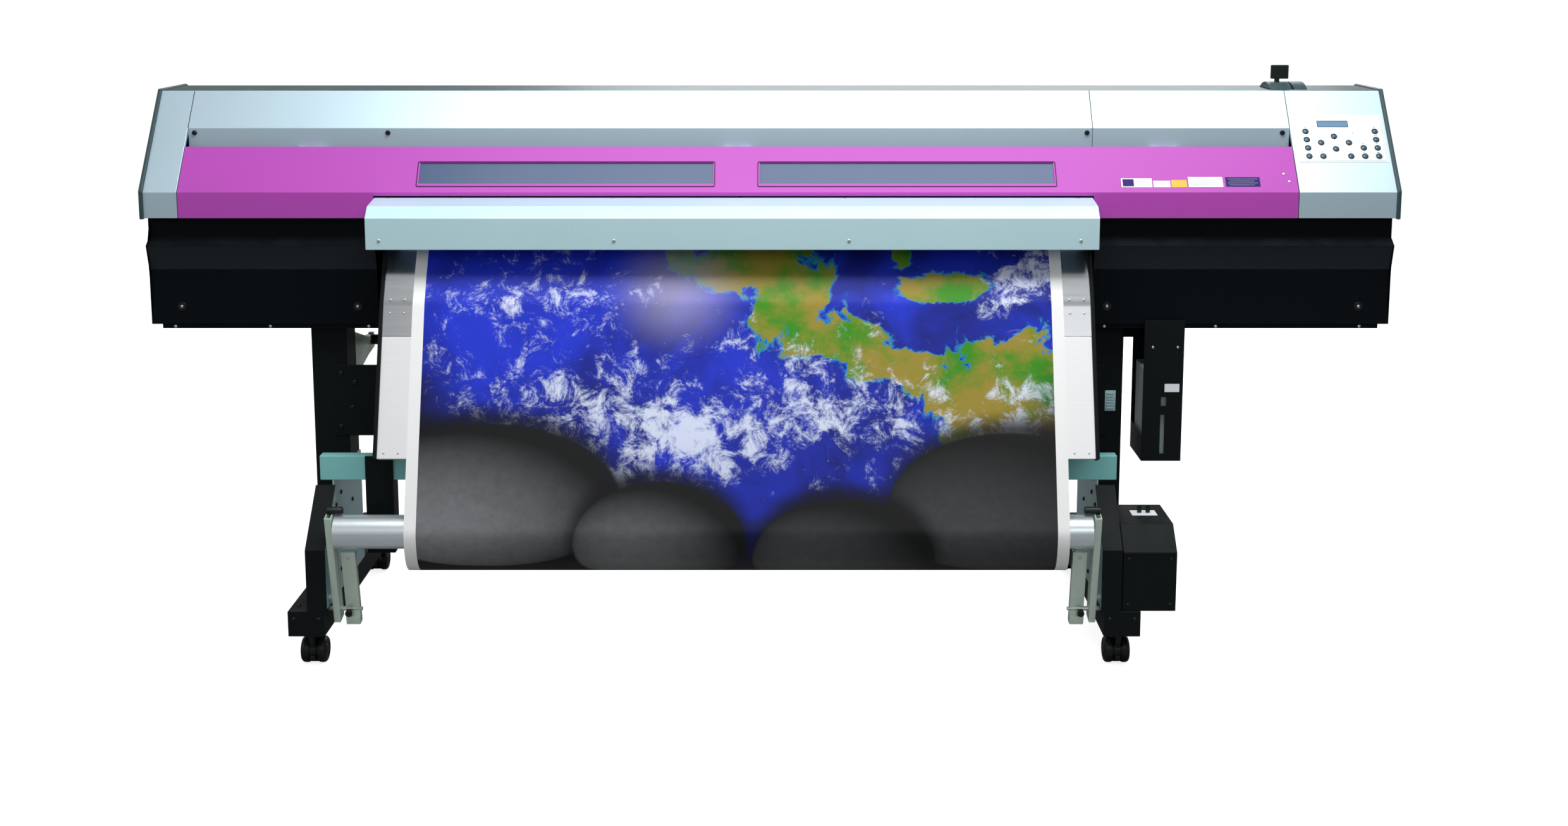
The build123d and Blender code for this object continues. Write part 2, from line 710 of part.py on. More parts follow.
def take_up_drive():
    """The motor housing at the right leg, its gear motor and the switch plate."""
    x0, x1 = drive_x
    outline = [
        (-336.0, foot_top_z), (-336.0, 262.0), (-286.0, 310.0), (-148.0, 310.0), (-148.0, foot_top_z),
    ]
    inner = [
        (-333.0, foot_top_z + 3.0), (-333.0, 261.0), (-285.0, 307.0), (-151.0, 307.0), (-151.0, foot_top_z + 3.0),
    ]
    housing = prism(outline, x0, x1) - prism(inner, x0 + 3.0, x1 - 3.0)
    bore = core_shaft_radius + shaft_clearance
    housing -= rod(x0, x0 + 3.0, core_y, core_z, bore)
    motor = rod(x0 + 35.0, x1 - 3.0, core_y, core_z, 32.0)
    plate = block(772.0, 826.0, -232.0, -196.0, 310.0, 311.2)
    return [housing, motor, plate]


def drive_switch(x):
    """One toggle of the take-up drive."""
    toggle = rod(x - 4.5, x + 4.5, -214.0, 314.5, 3.0)
    return toggle + block(x - 4.5, x + 4.5, -216.0, -212.0, 315.0, 328.0)


def dancer_arm_outline(depth_front, depth_rear):
    """The leaning (y, z) outline of an arm between its ends."""
    length = hypot(tube_y - pivot_y, tube_z - pivot_z)
    along = ((tube_y - pivot_y) / length, (tube_z - pivot_z) / length)
    across = (-along[1], along[0])
    corners = []
    for reach, side in ((-arm_bottom, depth_front), (length + arm_top, depth_front),
                        (length + arm_top, -depth_rear), (-arm_bottom, -depth_rear)):
        corners.append((
            pivot_y + along[0] * reach + across[0] * side,
            pivot_z + along[1] * reach + across[1] * side,
        ))
    return corners


def dancer_arms():
    """Two channel arms with pivot pins; their tops carry the tube."""
    arms = []
    outer = stand_centre_x - tube_half_length - 3.0
    inner_pin = 2 * stand_centre_x
    for mirror in (False, True):
        x0, x1 = outer - arm_width, outer
        arm = prism(dancer_arm_outline(arm_depth / 2, arm_depth / 2), x0, x1)
        arm -= prism(dancer_arm_outline(arm_depth / 2 - arm_wall, arm_depth / 2 + 1.0), x0 + arm_wall, x1 - arm_wall)
        arm += rod(leg_left_x + foot_width / 2 - 6.0, x0 + arm_wall, pivot_y, pivot_z, pivot_radius)
        arm -= rod(x1 - arm_wall - 1.0, x1, tube_y, tube_z, 8.0 + shaft_clearance)
        if mirror:
            arm = Pos(inner_pin, 0, 0) * mirror_x(arm)
        arms.append(arm)
    return arms


def mirror_x(shape):
    """The shape mirrored in the plane X = 0."""
    return shape.mirror(Plane.YZ)


def dancer_tube():
    """The idle tube that the media hangs over, with stub shafts."""
    x0 = stand_centre_x - tube_half_length
    x1 = stand_centre_x + tube_half_length
    tube = pipe(x0, x1, tube_y, tube_z, tube_radius, tube_radius - tube_wall)
    for a, b, s0, s1 in ((x0, x0 + 8.0, x0 - 5.0, x0 + 8.0), (x1 - 8.0, x1, x1 - 8.0, x1 + 5.0)):
        tube += rod(a, b, tube_y, tube_z, tube_radius - tube_wall + 0.5)
        tube += rod(s0, s1, tube_y, tube_z, 8.0)
    return tube


def take_up_core():
    """The wound media, its core tube and the shaft with its two end plugs."""
    half = media_width / 2
    x0 = media_centre_x - half
    x1 = media_centre_x + half
    wound = pipe(x0, x1, core_y, core_z, wound_radius, core_radius)
    tube = pipe(x0 - 8.0, x1 + 8.0, core_y, core_z, core_radius, core_radius - 3.0)
    shaft = rod(-803.0, drive_x[0] + 35.0 - running_gap, core_y, core_z, core_shaft_radius)
    for a in (x0 - 16.0, x1 + 8.0):
        shaft += rod(a, a + 8.0, core_y, core_z, core_radius + 8.0)
    for a in (x0 - 8.0, x1 - 12.0):
        shaft += rod(a, a + 20.0, core_y, core_z, core_radius - 3.0)
    return [wound, tube, shaft]


def supply_roll():
    """The unprinted roll on its core, with flanges and a through shaft."""
    y = tray_rear_y - supply_radius
    half = media_width / 2
    x0 = media_centre_x - half
    x1 = media_centre_x + half
    wound = pipe(x0, x1, y, supply_z, supply_radius, supply_core_radius)
    shaft = rod(leg_left_x + 17.0, leg_right_x - 17.0, y, supply_z, supply_shaft_radius)
    for a in (x0 - 0.5 - flange_wall, x1 + 0.5):
        shaft += rod(a, a + flange_wall, y, supply_z, flange_radius)
    for a, b in ((x0 - 0.5, x0 + 40.0), (x1 - 40.0, x1 + 0.5)):
        shaft += rod(a, b, y, supply_z, supply_core_radius)
    return [wound, shaft]


def bottle_holder():
    """The black pocket that hangs from the body and holds the waste bottle."""
    x0, x1 = 811.0, 898.0
    front_y, back_y = -108.0, 22.0
    holder = block(x0, x1, front_y, front_y + 2.0, 396.0, 709.0)
    holder -= block(x0 + 40.0, x0 + 49.0, front_y, front_y + 2.0, 413.0, 500.0)
    holder -= block(x0 + 40.0, x0 + 52.0, front_y, front_y + 2.0, 520.0, 540.0)
    holder += block(x0, x1, front_y, back_y, 396.0, 398.0)
    holder += block(x1 - 2.0, x1, front_y, back_y, 396.0, 686.0)
    holder += block(x0, x0 + 2.0, front_y, back_y, 396.0, 455.0)
    holder += block(x0 - 25.0, x1 + 12.0, back_y - 2.0, back_y, 647.0, post_top_z)
    holder += block(x0, x1, back_y - 2.0, back_y, 396.0, 647.0)
    return holder


def waste_bottle():
    """The translucent waste bottle with its neck and cap."""
    bottle = fillet(block(816.0, 893.0, -98.0, 12.0, 398.0, 600.0).edges().filter_by(Axis.Z), 12.0)
    bottle += post(854.5, -43.0, 600.0, 618.0, 18.0)
    cap = post(854.5, -43.0, 618.0, 640.0, 22.0)
    return [bottle, cap]


def pinch_roller_arms():
    """The lifting shaft with a forked arm over each grit roller."""
    bank = rod(-1200.0, 1100.0, arm_pivot_y, arm_pivot_z, arm_shaft_radius)
    cheek = [
        (102.0, 933.0), (102.0, 948.0), (80.0, 948.0), (54.0, 921.0), (54.0, 908.5), (66.0, 908.5), (88.0, 933.0),
    ]
    for x in feed_stations:
        for a in (x - 13.0, x + 9.0):
            bank += prism(cheek, a, a + 4.0)
        bank += block(x - 9.0, x + 9.0, 82.0, 102.0, 933.0, 948.0)
        bank += rod(x - 13.0, x + 13.0, grit_y, pinch_z, pinch_axle_radius)
    return bank


def pinch_rollers():
    """The rubber rollers that press the media on the grit rollers."""
    rollers = []
    for x in feed_stations:
        half = pinch_width / 2
        bore = pinch_axle_radius + shaft_clearance
        rollers.append(pipe(x - half, x + half, grit_y, pinch_z, pinch_radius, bore))
    return rollers


def grit_roller():
    """The driven shaft with its gritted sections."""
    shaft = rod(-1250.0, 1140.0 - running_gap, grit_y, grit_z, grit_shaft_radius)
    for x in feed_stations:
        shaft += rod(x - grit_width / 2, x + grit_width / 2, grit_y, grit_z, grit_radius)
    return shaft


def caster_fork(x, y):
    """The swivelling half of a caster: stem, head, web and axle."""
    top = foot_bottom_z - running_gap
    fork = prism([
        (y - 16.0, top), (y + 16.0, top), (y + 34.0, 52.0), (y + 34.0, 22.0), (y + 2.0, 22.0), (y - 16.0, 60.0),
    ], x - wheel_inner + 1.5, x + wheel_inner - 1.5)
    fork += post(x, y, top - 6.0, top, 22.0)
    fork += post(x, y, top, foot_bottom_z + 6.0, caster_stem_radius)
    reach = wheel_inner + wheel_width
    fork += rod(x - reach, x + reach, y + wheel_trail, wheel_radius, wheel_axle_radius)
    return fork


def caster_wheels(x, y):
    """The twin wheels of one caster."""
    wheels = []
    for a in (x - wheel_inner - wheel_width, x + wheel_inner):
        wheels.append(pipe(
            a, a + wheel_width, y + wheel_trail, wheel_radius, wheel_radius, wheel_axle_radius + shaft_clearance,
        ))
    return wheels


def fasteners():
    """Bolts on the upper lip, and the screws of the hood, plates and lower fronts."""
    lip_y = on_slope(upper_panel_start)[0]
    screws = [stud(x, 1108.0, lip_y - 5.0, lip_y, 5.0) for x in (-1256.0, -834.0, 691.0, 1117.0)]
    screws += [stud(x, 899.0, -215.0, -213.0, 4.0) for x in (-818.0, -326.0, 166.0, 651.0)]
    screws += [stud(x, 738.0, -97.0, -95.0, 4.0) for x in (-1275.0, -894.0, 730.0, 1275.0)]
    return screws


button_places = {
    "button_menu": (button_columns_x[1], button_rows[0]),
    "button_enter": (button_columns_x[3], button_rows[0]),
    "button_pause": (button_columns_x[4], button_rows[0]),
    "button_power": (button_columns_x[5], button_rows[0]),
    "button_function_4": (button_columns_x[0], button_rows[0]),
    "button_function_3": (button_columns_x[0], button_rows[1]),
    "button_function_2": (button_columns_x[0], button_rows[2]),
    "button_function_1": (button_columns_x[0], button_rows[3]),
    "button_sheet_cut": (button_columns_x[4], button_rows[1]),
    "button_test_print": (button_columns_x[5], button_rows[1]),
    "button_cleaning": (button_columns_x[5], button_rows[2]),
    "button_setup": (button_columns_x[5], button_rows[3]),
    "button_down": (button_columns_x[2], 109.0),
    "button_up": (button_columns_x[2], 141.2),
    "button_left": (button_columns_x[1], 125.0),
    "button_right": (button_columns_x[3], 125.0),
}

save("chassis_frame", *chassis_frame())
save("end_covers", *end_covers())
save("side_panels", *side_panels())
save("upper_front_covers", *upper_front_covers())
save("front_cover", front_cover())
save("cover_windows", *cover_windows())
save("rear_cover", rear_cover())
save("lever_housing", *lever_housing())
save("loading_lever", loading_lever())
save("lower_front_covers", *lower_front_covers())
save("control_panel", *control_panel())
for name, (x, distance) in button_places.items():
    save(name, slope_rod(x, distance, button_depth, button_proud, button_radius))
save("platen", *platen())
save("carriage_rail", *carriage_rail())
save("print_carriage", *print_carriage())
save("drive_units", *drive_units())
save("ink_and_capping_unit", *ink_and_capping_unit())
save("grit_roller", grit_roller())
save("pinch_roller_arms", pinch_roller_arms())
save("pinch_rollers", *pinch_rollers())
save("media_sheet", media_sheet())
save("dryer_cover", dryer_cover())
save("dryer_plates", *dryer_plates())
save("dryer_side_frames", *dryer_side_frames())
save("stand_frame", *stand_frame())
save("take_up_frame", *take_up_frame())
save("take_up_brackets", *take_up_brackets())
save("take_up_drive", *take_up_drive())
save("drive_switch_mode", drive_switch(790.0))
save("drive_switch_direction", drive_switch(808.0))
save("dancer_arms", *dancer_arms())
save("dancer_tube", dancer_tube())
save("take_up_core", *take_up_core())
save("supply_roll", *supply_roll())
save("bottle_holder", bottle_holder())
save("waste_bottle", *waste_bottle())
save("fasteners", *fasteners())
for leg, x in (("left", leg_left_x), ("right", leg_right_x)):
    for end, y in (("front", foot_front_y + caster_inset), ("rear", foot_rear_y - caster_inset)):
        save(f"caster_fork_{end}_{leg}", caster_fork(x, y))
        save(f"caster_wheels_{end}_{leg}", *caster_wheels(x, y))
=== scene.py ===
"""Finished surfaces of a wide-format printer cutter, built round its CAD frame."""

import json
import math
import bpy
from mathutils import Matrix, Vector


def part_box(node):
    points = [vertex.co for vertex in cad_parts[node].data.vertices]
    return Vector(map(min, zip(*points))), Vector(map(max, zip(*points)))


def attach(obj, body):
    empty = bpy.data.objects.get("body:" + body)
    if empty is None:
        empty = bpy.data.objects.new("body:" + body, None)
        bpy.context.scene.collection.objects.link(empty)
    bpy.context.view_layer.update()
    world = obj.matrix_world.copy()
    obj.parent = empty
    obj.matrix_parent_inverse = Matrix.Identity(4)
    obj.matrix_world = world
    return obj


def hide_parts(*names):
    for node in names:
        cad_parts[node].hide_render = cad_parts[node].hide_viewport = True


bl_info = {
    "name": "Printer Cutter",
    "version": (1, 0, 0),
    "blender": (4, 5, 0),
    "location": "View3D > Sidebar > Printer Cutter",
    "description": "Dresses a wide-format printer cutter: covers, keys, printed web, stand, take-up and casters",
    "category": "Object",
}

import bmesh
import bpy
from mathutils import Matrix, Vector

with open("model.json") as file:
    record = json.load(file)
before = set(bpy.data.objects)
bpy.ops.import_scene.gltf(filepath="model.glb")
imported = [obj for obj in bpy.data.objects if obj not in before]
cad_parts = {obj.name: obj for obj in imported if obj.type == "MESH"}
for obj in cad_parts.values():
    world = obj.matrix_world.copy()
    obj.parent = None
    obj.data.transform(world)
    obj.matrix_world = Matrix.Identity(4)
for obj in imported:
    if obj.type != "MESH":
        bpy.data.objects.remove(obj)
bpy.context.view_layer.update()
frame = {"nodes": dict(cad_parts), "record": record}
NODES = frame["nodes"]
BODY_OF = {
    node: body
    for body, members in frame["record"]["behaviour"]["bodies"].items()
    for node in members
}
KEYS = sorted(node for node in NODES if node.startswith("button_"))

# The sloping front: its knee, its direction up the slope and its outward normal.
# How far a key's seat is from the middle of its box, and the heights and the length that tell a
# node's solids apart, in metres.
KEY_SEAT = 0.0015
EAR_TOP = 1.19
BED_UNDERSIDE = 0.85
BOTTLE_NECK = 0.5
LONG_PART = 1.0
KNEE = Vector((0.0, -0.112, 0.989))
UP_SLOPE = Vector((0.0, 160.0, 207.0)).normalized()
OUT_SLOPE = Vector((0.0, -UP_SLOPE.z, UP_SLOPE.y))
FRONT = Vector((0.0, -1.0, 0.0))
UP = Vector((0.0, 0.0, 1.0))

# The web's inner face, as (y, z) in metres, from the supply roll to the take-up roll.
WEB_REAR = (
    (0.2833, 0.600), (0.2833, 0.805), (0.2723, 0.8382), (0.2502, 0.8663), (0.2151, 0.8863),
    (0.165, 0.8993), (0.120, 0.9043), (0.090, 0.9043), (-0.060, 0.9043),
)
WEB_PLATE = (
    (-0.0882, 0.9003), (-0.1152, 0.8893), (-0.1403, 0.8682), (-0.1723, 0.8221), (-0.2053, 0.7641),
    (-0.2293, 0.6995), (-0.2297, 0.6985), (-0.3197, 0.4585),
)
WEB_HANG = (
    (-0.3691, 0.3192), (-0.3712, 0.307), (-0.3678, 0.275), (-0.3568, 0.247), (-0.3368, 0.227),
    (-0.3068, 0.215), (-0.2668, 0.209), (-0.234, 0.2095), (-0.209, 0.2127),
)


# ---------------------------------------------------------------- settings

def colour(name, description, default):
    """A colour that a user may change."""
    return bpy.props.FloatVectorProperty(
        name=name, description=description, subtype="COLOR", size=3, min=0.0, max=1.0, default=default,
    )


def length(name, description, default):
    """A length that a user may change."""
    return bpy.props.FloatProperty(name=name, description=description, unit="LENGTH", default=default, min=0.0)


class PrinterCutterSettings(bpy.types.PropertyGroup):
    """Colours and small sizes of the finish."""

    silver: colour("Silver", "Metallic paint of the caps and upper panels", (0.47, 0.61, 0.69))
    hatch: colour("Hatch", "Paint of the hinged front cover", (0.41, 0.062, 0.41))
    window: colour("Windows", "Tint of the two windows", (0.055, 0.105, 0.225))
    shell: colour("Shell", "Paint of the side cheeks and the rear cover", (0.030, 0.060, 0.066))
    lower_black: colour("Lower body", "Paint of the lower front covers", (0.0030, 0.0050, 0.0064))
    stand_black: colour("Stand", "Powder coat of the stand", (0.0050, 0.0080, 0.0090))
    hood: colour("Hood", "Paint of the dryer hood", (0.60, 0.86, 0.92))
    beam: colour("Beam", "Paint of the take-up beam", (0.24, 0.60, 0.59))
    plate: colour("Side plates", "Paint of the take-up side plates", (0.42, 0.62, 0.66))
    zinc: colour("Zinc", "Plating of the dancer arms", (0.66, 0.80, 0.70))
    key: colour("Keys", "Plastic of the keys", (0.035, 0.085, 0.13))
    overlay: colour("Overlay", "Film of the control panel", (0.84, 0.88, 0.88))
    vinyl: colour("Web", "Unprinted web", (0.86, 0.87, 0.87))
    ink_deep: colour("Deep ink", "Darkest blue of the sample print", (0.002, 0.008, 0.16))
    ink_bright: colour("Bright ink", "Brightest blue of the sample print", (0.012, 0.035, 0.62))
    edge_round: length("Edge rounding", "Rounding of folded sheet edges", 0.0008)
    margin: length("Margin", "Unprinted margin at each side of the web", 0.025)


# ---------------------------------------------------------------- shader tools

def shade(tree, kind, inputs=None, **values):
    """A shader node with its settings and its unlinked inputs."""
    node = tree.nodes.new(kind)
    for key, value in values.items():
        setattr(node, key, value)
    for key, value in (inputs or {}).items():
        if isinstance(value, bpy.types.NodeSocket):
            tree.links.new(value, node.inputs[key])
        else:
            node.inputs[key].default_value = value
    return node


def group(name, inputs, outputs):
    """An empty shader group with named sockets, and its input and output nodes."""
    tree = bpy.data.node_groups.new(name, "ShaderNodeTree")
    for label, kind, default in inputs:
        socket = tree.interface.new_socket(name=label, in_out="INPUT", socket_type=kind)
        socket.default_value = default
    for label, kind in outputs:
        tree.interface.new_socket(name=label, in_out="OUTPUT", socket_type=kind)
    return tree, tree.nodes.new("NodeGroupInput"), tree.nodes.new("NodeGroupOutput")


def math_node(tree, operation, *values, clamp=False):
    """The output of a Math node."""
    return shade(tree, "ShaderNodeMath", dict(enumerate(values)), operation=operation, use_clamp=clamp).outputs[0]


def mixed(tree, factor, first, second):
    """The output of a colour mix."""
    node = shade(tree, "ShaderNodeMix", data_type="RGBA")
    for key, value in ((0, factor), (6, first), (7, second)):
        if isinstance(value, bpy.types.NodeSocket):
            tree.links.new(value, node.inputs[key])
        else:
            node.inputs[key].default_value = value
    return node.outputs[2]


def ramped(tree, value, low, high):
    """A value brought from low..high to 0..1 with soft ends."""
    node = shade(tree, "ShaderNodeMapRange", {0: value, 1: low, 2: high}, interpolation_type="SMOOTHSTEP")
    return node.outputs[0]


FLOAT = "NodeSocketFloat"
COLOUR = "NodeSocketColor"
VECTOR = "NodeSocketVector"


def grain_group():
    """Paint or plastic grain: small relief, a slight mottle and fine flecks in it."""
    tree, given, out = group(
        "Surface grain",
        [("Color", COLOUR, (0.5, 0.5, 0.5, 1.0)), ("Size", FLOAT, 900.0), ("Mottle", FLOAT, 0.1),
         ("Roughness", FLOAT, 0.4), ("Fleck", FLOAT, 0.1)],
        [("Color", COLOUR), ("Roughness", FLOAT), ("Height", FLOAT)],
    )
    where = shade(tree, "ShaderNodeTexCoord").outputs["Object"]
    fine = shade(tree, "ShaderNodeTexNoise", {"Vector": where, "Scale": given.outputs["Size"], "Detail": 2.0})
    broad = shade(tree, "ShaderNodeTexNoise", {"Vector": where, "Scale": 5.0, "Detail": 4.0, "Roughness": 0.6})
    fleck = math_node(tree, "MULTIPLY", math_node(tree, "SUBTRACT", fine.outputs[0], 0.5), given.outputs["Fleck"])
    patch = math_node(tree, "MULTIPLY", math_node(tree, "SUBTRACT", broad.outputs[0], 0.5), given.outputs["Mottle"])
    gain = math_node(tree, "ADD", 1.0, math_node(tree, "ADD", fleck, patch))
    tinted = shade(tree, "ShaderNodeVectorMath", {0: given.outputs["Color"]}, operation="SCALE")
    tree.links.new(gain, tinted.inputs["Scale"])
    rough = math_node(tree, "ADD", given.outputs["Roughness"], math_node(tree, "MULTIPLY", patch, 0.8), clamp=True)
    tree.links.new(tinted.outputs[0], out.inputs["Color"])
    tree.links.new(rough, out.inputs["Roughness"])
    tree.links.new(fine.outputs[0], out.inputs["Height"])
    return tree


def brushed_group():
    """Fine scratches that run along the machine."""
    tree, given, out = group(
        "Brushed metal",
        [("Color", COLOUR, (0.7, 0.7, 0.7, 1.0)), ("Stretch", VECTOR, (4.0, 600.0, 600.0)),
         ("Strength", FLOAT, 0.15), ("Roughness", FLOAT, 0.3)],
        [("Color", COLOUR), ("Roughness", FLOAT), ("Height", FLOAT)],
    )
    where = shade(tree, "ShaderNodeTexCoord").outputs["Object"]
    long = shade(tree, "ShaderNodeVectorMath", {0: where, 1: given.outputs["Stretch"]}, operation="MULTIPLY")
    lines = shade(tree, "ShaderNodeTexNoise", {"Vector": long.outputs[0], "Scale": 1.0, "Detail": 3.0})
    centred = math_node(tree, "SUBTRACT", lines.outputs[0], 0.5)
    change = math_node(tree, "MULTIPLY", centred, given.outputs["Strength"])
    tinted = shade(tree, "ShaderNodeVectorMath", {0: given.outputs["Color"]}, operation="SCALE")
    tree.links.new(math_node(tree, "ADD", 1.0, change), tinted.inputs["Scale"])
    rough = math_node(tree, "ADD", given.outputs["Roughness"], change, clamp=True)
    tree.links.new(tinted.outputs[0], out.inputs["Color"])
    tree.links.new(rough, out.inputs["Roughness"])
    tree.links.new(lines.outputs[0], out.inputs["Height"])
    return tree


def dust_group():
    """Dust on what faces up, as a colour laid over the given one."""
    tree, given, out = group(
        "Settled dust",
        [("Color", COLOUR, (0.1, 0.1, 0.1, 1.0)), ("Amount", FLOAT, 0.1)],
        [("Color", COLOUR)],
    )
    coordinate = shade(tree, "ShaderNodeTexCoord")
    upward = shade(tree, "ShaderNodeSeparateXYZ", {0: coordinate.outputs["Normal"]}).outputs[2]
    cloud = shade(tree, "ShaderNodeTexNoise", {"Vector": coordinate.outputs["Object"], "Scale": 22.0, "Detail": 5.0})
    share = math_node(tree, "MULTIPLY", ramped(tree, upward, 0.5, 1.0), ramped(tree, cloud.outputs[0], 0.35, 0.7))
    share = math_node(tree, "MULTIPLY", share, given.outputs["Amount"], clamp=True)
    tree.links.new(mixed(tree, share, given.outputs["Color"], (0.42, 0.42, 0.40, 1.0)), out.inputs["Color"])
    return tree


def pebble_group():
    """One smooth stone of the sample print: a mask and a shade from its centre and half sizes."""
    tree, given, out = group(
        "Printed stone",
        [("Place", VECTOR, (0.0, 0.0, 0.0)), ("Centre", VECTOR, (0.0, 0.0, 0.0)),
            ("Spread", VECTOR, (5.0, 8.0, 1.0))],
        [("Mask", FLOAT), ("Shade", FLOAT)],
    )
    offset = shade(
        tree, "ShaderNodeVectorMath", {0: given.outputs["Place"], 1: given.outputs["Centre"]}, operation="SUBTRACT",
    )
    scaled = shade(
        tree, "ShaderNodeVectorMath", {0: offset.outputs[0], 1: given.outputs["Spread"]}, operation="MULTIPLY",
    )
    reach = shade(tree, "ShaderNodeVectorMath", {0: scaled.outputs[0]}, operation="LENGTH").outputs["Value"]
    split = shade(tree, "ShaderNodeSeparateXYZ", {0: scaled.outputs[0]})
    inside = math_node(tree, "SUBTRACT", 1.0, ramped(tree, reach, 0.97, 1.01))
    dome = math_node(
        tree, "SQRT", math_node(tree, "MAXIMUM",
            math_node(tree, "SUBTRACT", 1.0, math_node(tree, "MULTIPLY", reach, reach)), 0.0),
    )
    side = math_node(
        tree, "MULTIPLY", math_node(tree, "SUBTRACT", split.outputs[1],
            math_node(tree, "MULTIPLY", split.outputs[0], 0.8)), 0.42,
    )
    light = math_node(tree, "ADD", math_node(tree, "MULTIPLY", dome, 0.72), side, clamp=True)
    tree.links.new(inside, out.inputs["Mask"])
    tree.links.new(light, out.inputs["Shade"])
    return tree


def material(
    name, base, metallic=0.0, roughness=0.4, coat=0.0, grain=None, brushed=None, dust=0.0, relief=0.1, shine=0.5,
):
    """A Principled material fed by the shared groups."""
    made = bpy.data.materials.new(name)
    made.use_nodes = True
    tree = made.node_tree
    bsdf = tree.nodes["Principled BSDF"]
    bsdf.inputs["Metallic"].default_value = metallic
    bsdf.inputs["Coat Weight"].default_value = coat
    bsdf.inputs["Coat Roughness"].default_value = 0.12
    bsdf.inputs["Specular IOR Level"].default_value = shine
    paint = (*base, 1.0)
    if brushed:
        source = shade(tree, "ShaderNodeGroup", node_tree=GROUPS["brushed"])
        source.inputs["Stretch"].default_value = brushed[0]
        source.inputs["Strength"].default_value = brushed[1]
    else:
        size, mottle, fleck = grain or (900.0, 0.1, 0.1)
        source = shade(tree, "ShaderNodeGroup", node_tree=GROUPS["grain"])
        source.inputs["Size"].default_value = size
        source.inputs["Mottle"].default_value = mottle
        source.inputs["Fleck"].default_value = fleck
    source.inputs["Color"].default_value = paint
    source.inputs["Roughness"].default_value = roughness
    result = source.outputs["Color"]
    if dust:
        cover = shade(tree, "ShaderNodeGroup", node_tree=GROUPS["dust"])
        cover.inputs["Amount"].default_value = dust
        tree.links.new(result, cover.inputs["Color"])
        result = cover.outputs["Color"]
    tree.links.new(result, bsdf.inputs["Base Color"])
    tree.links.new(source.outputs["Roughness"], bsdf.inputs["Roughness"])
    bump = shade(tree, "ShaderNodeBump", {"Strength": relief, "Distance": 0.0003, "Height": source.outputs["Height"]})
    tree.links.new(bump.outputs[0], bsdf.inputs["Normal"])
    return made


def glass_material(name, tint, roughness, coverage, shine=0.5):
    """Tinted clear plastic."""
    made = material(name, tint, 0.0, roughness, grain=(60.0, 0.1, 0.0), relief=0.02, shine=shine)
    bsdf = made.node_tree.nodes["Principled BSDF"]
    bsdf.inputs["Transmission Weight"].default_value = coverage
    bsdf.inputs["IOR"].default_value = 1.46
    return made


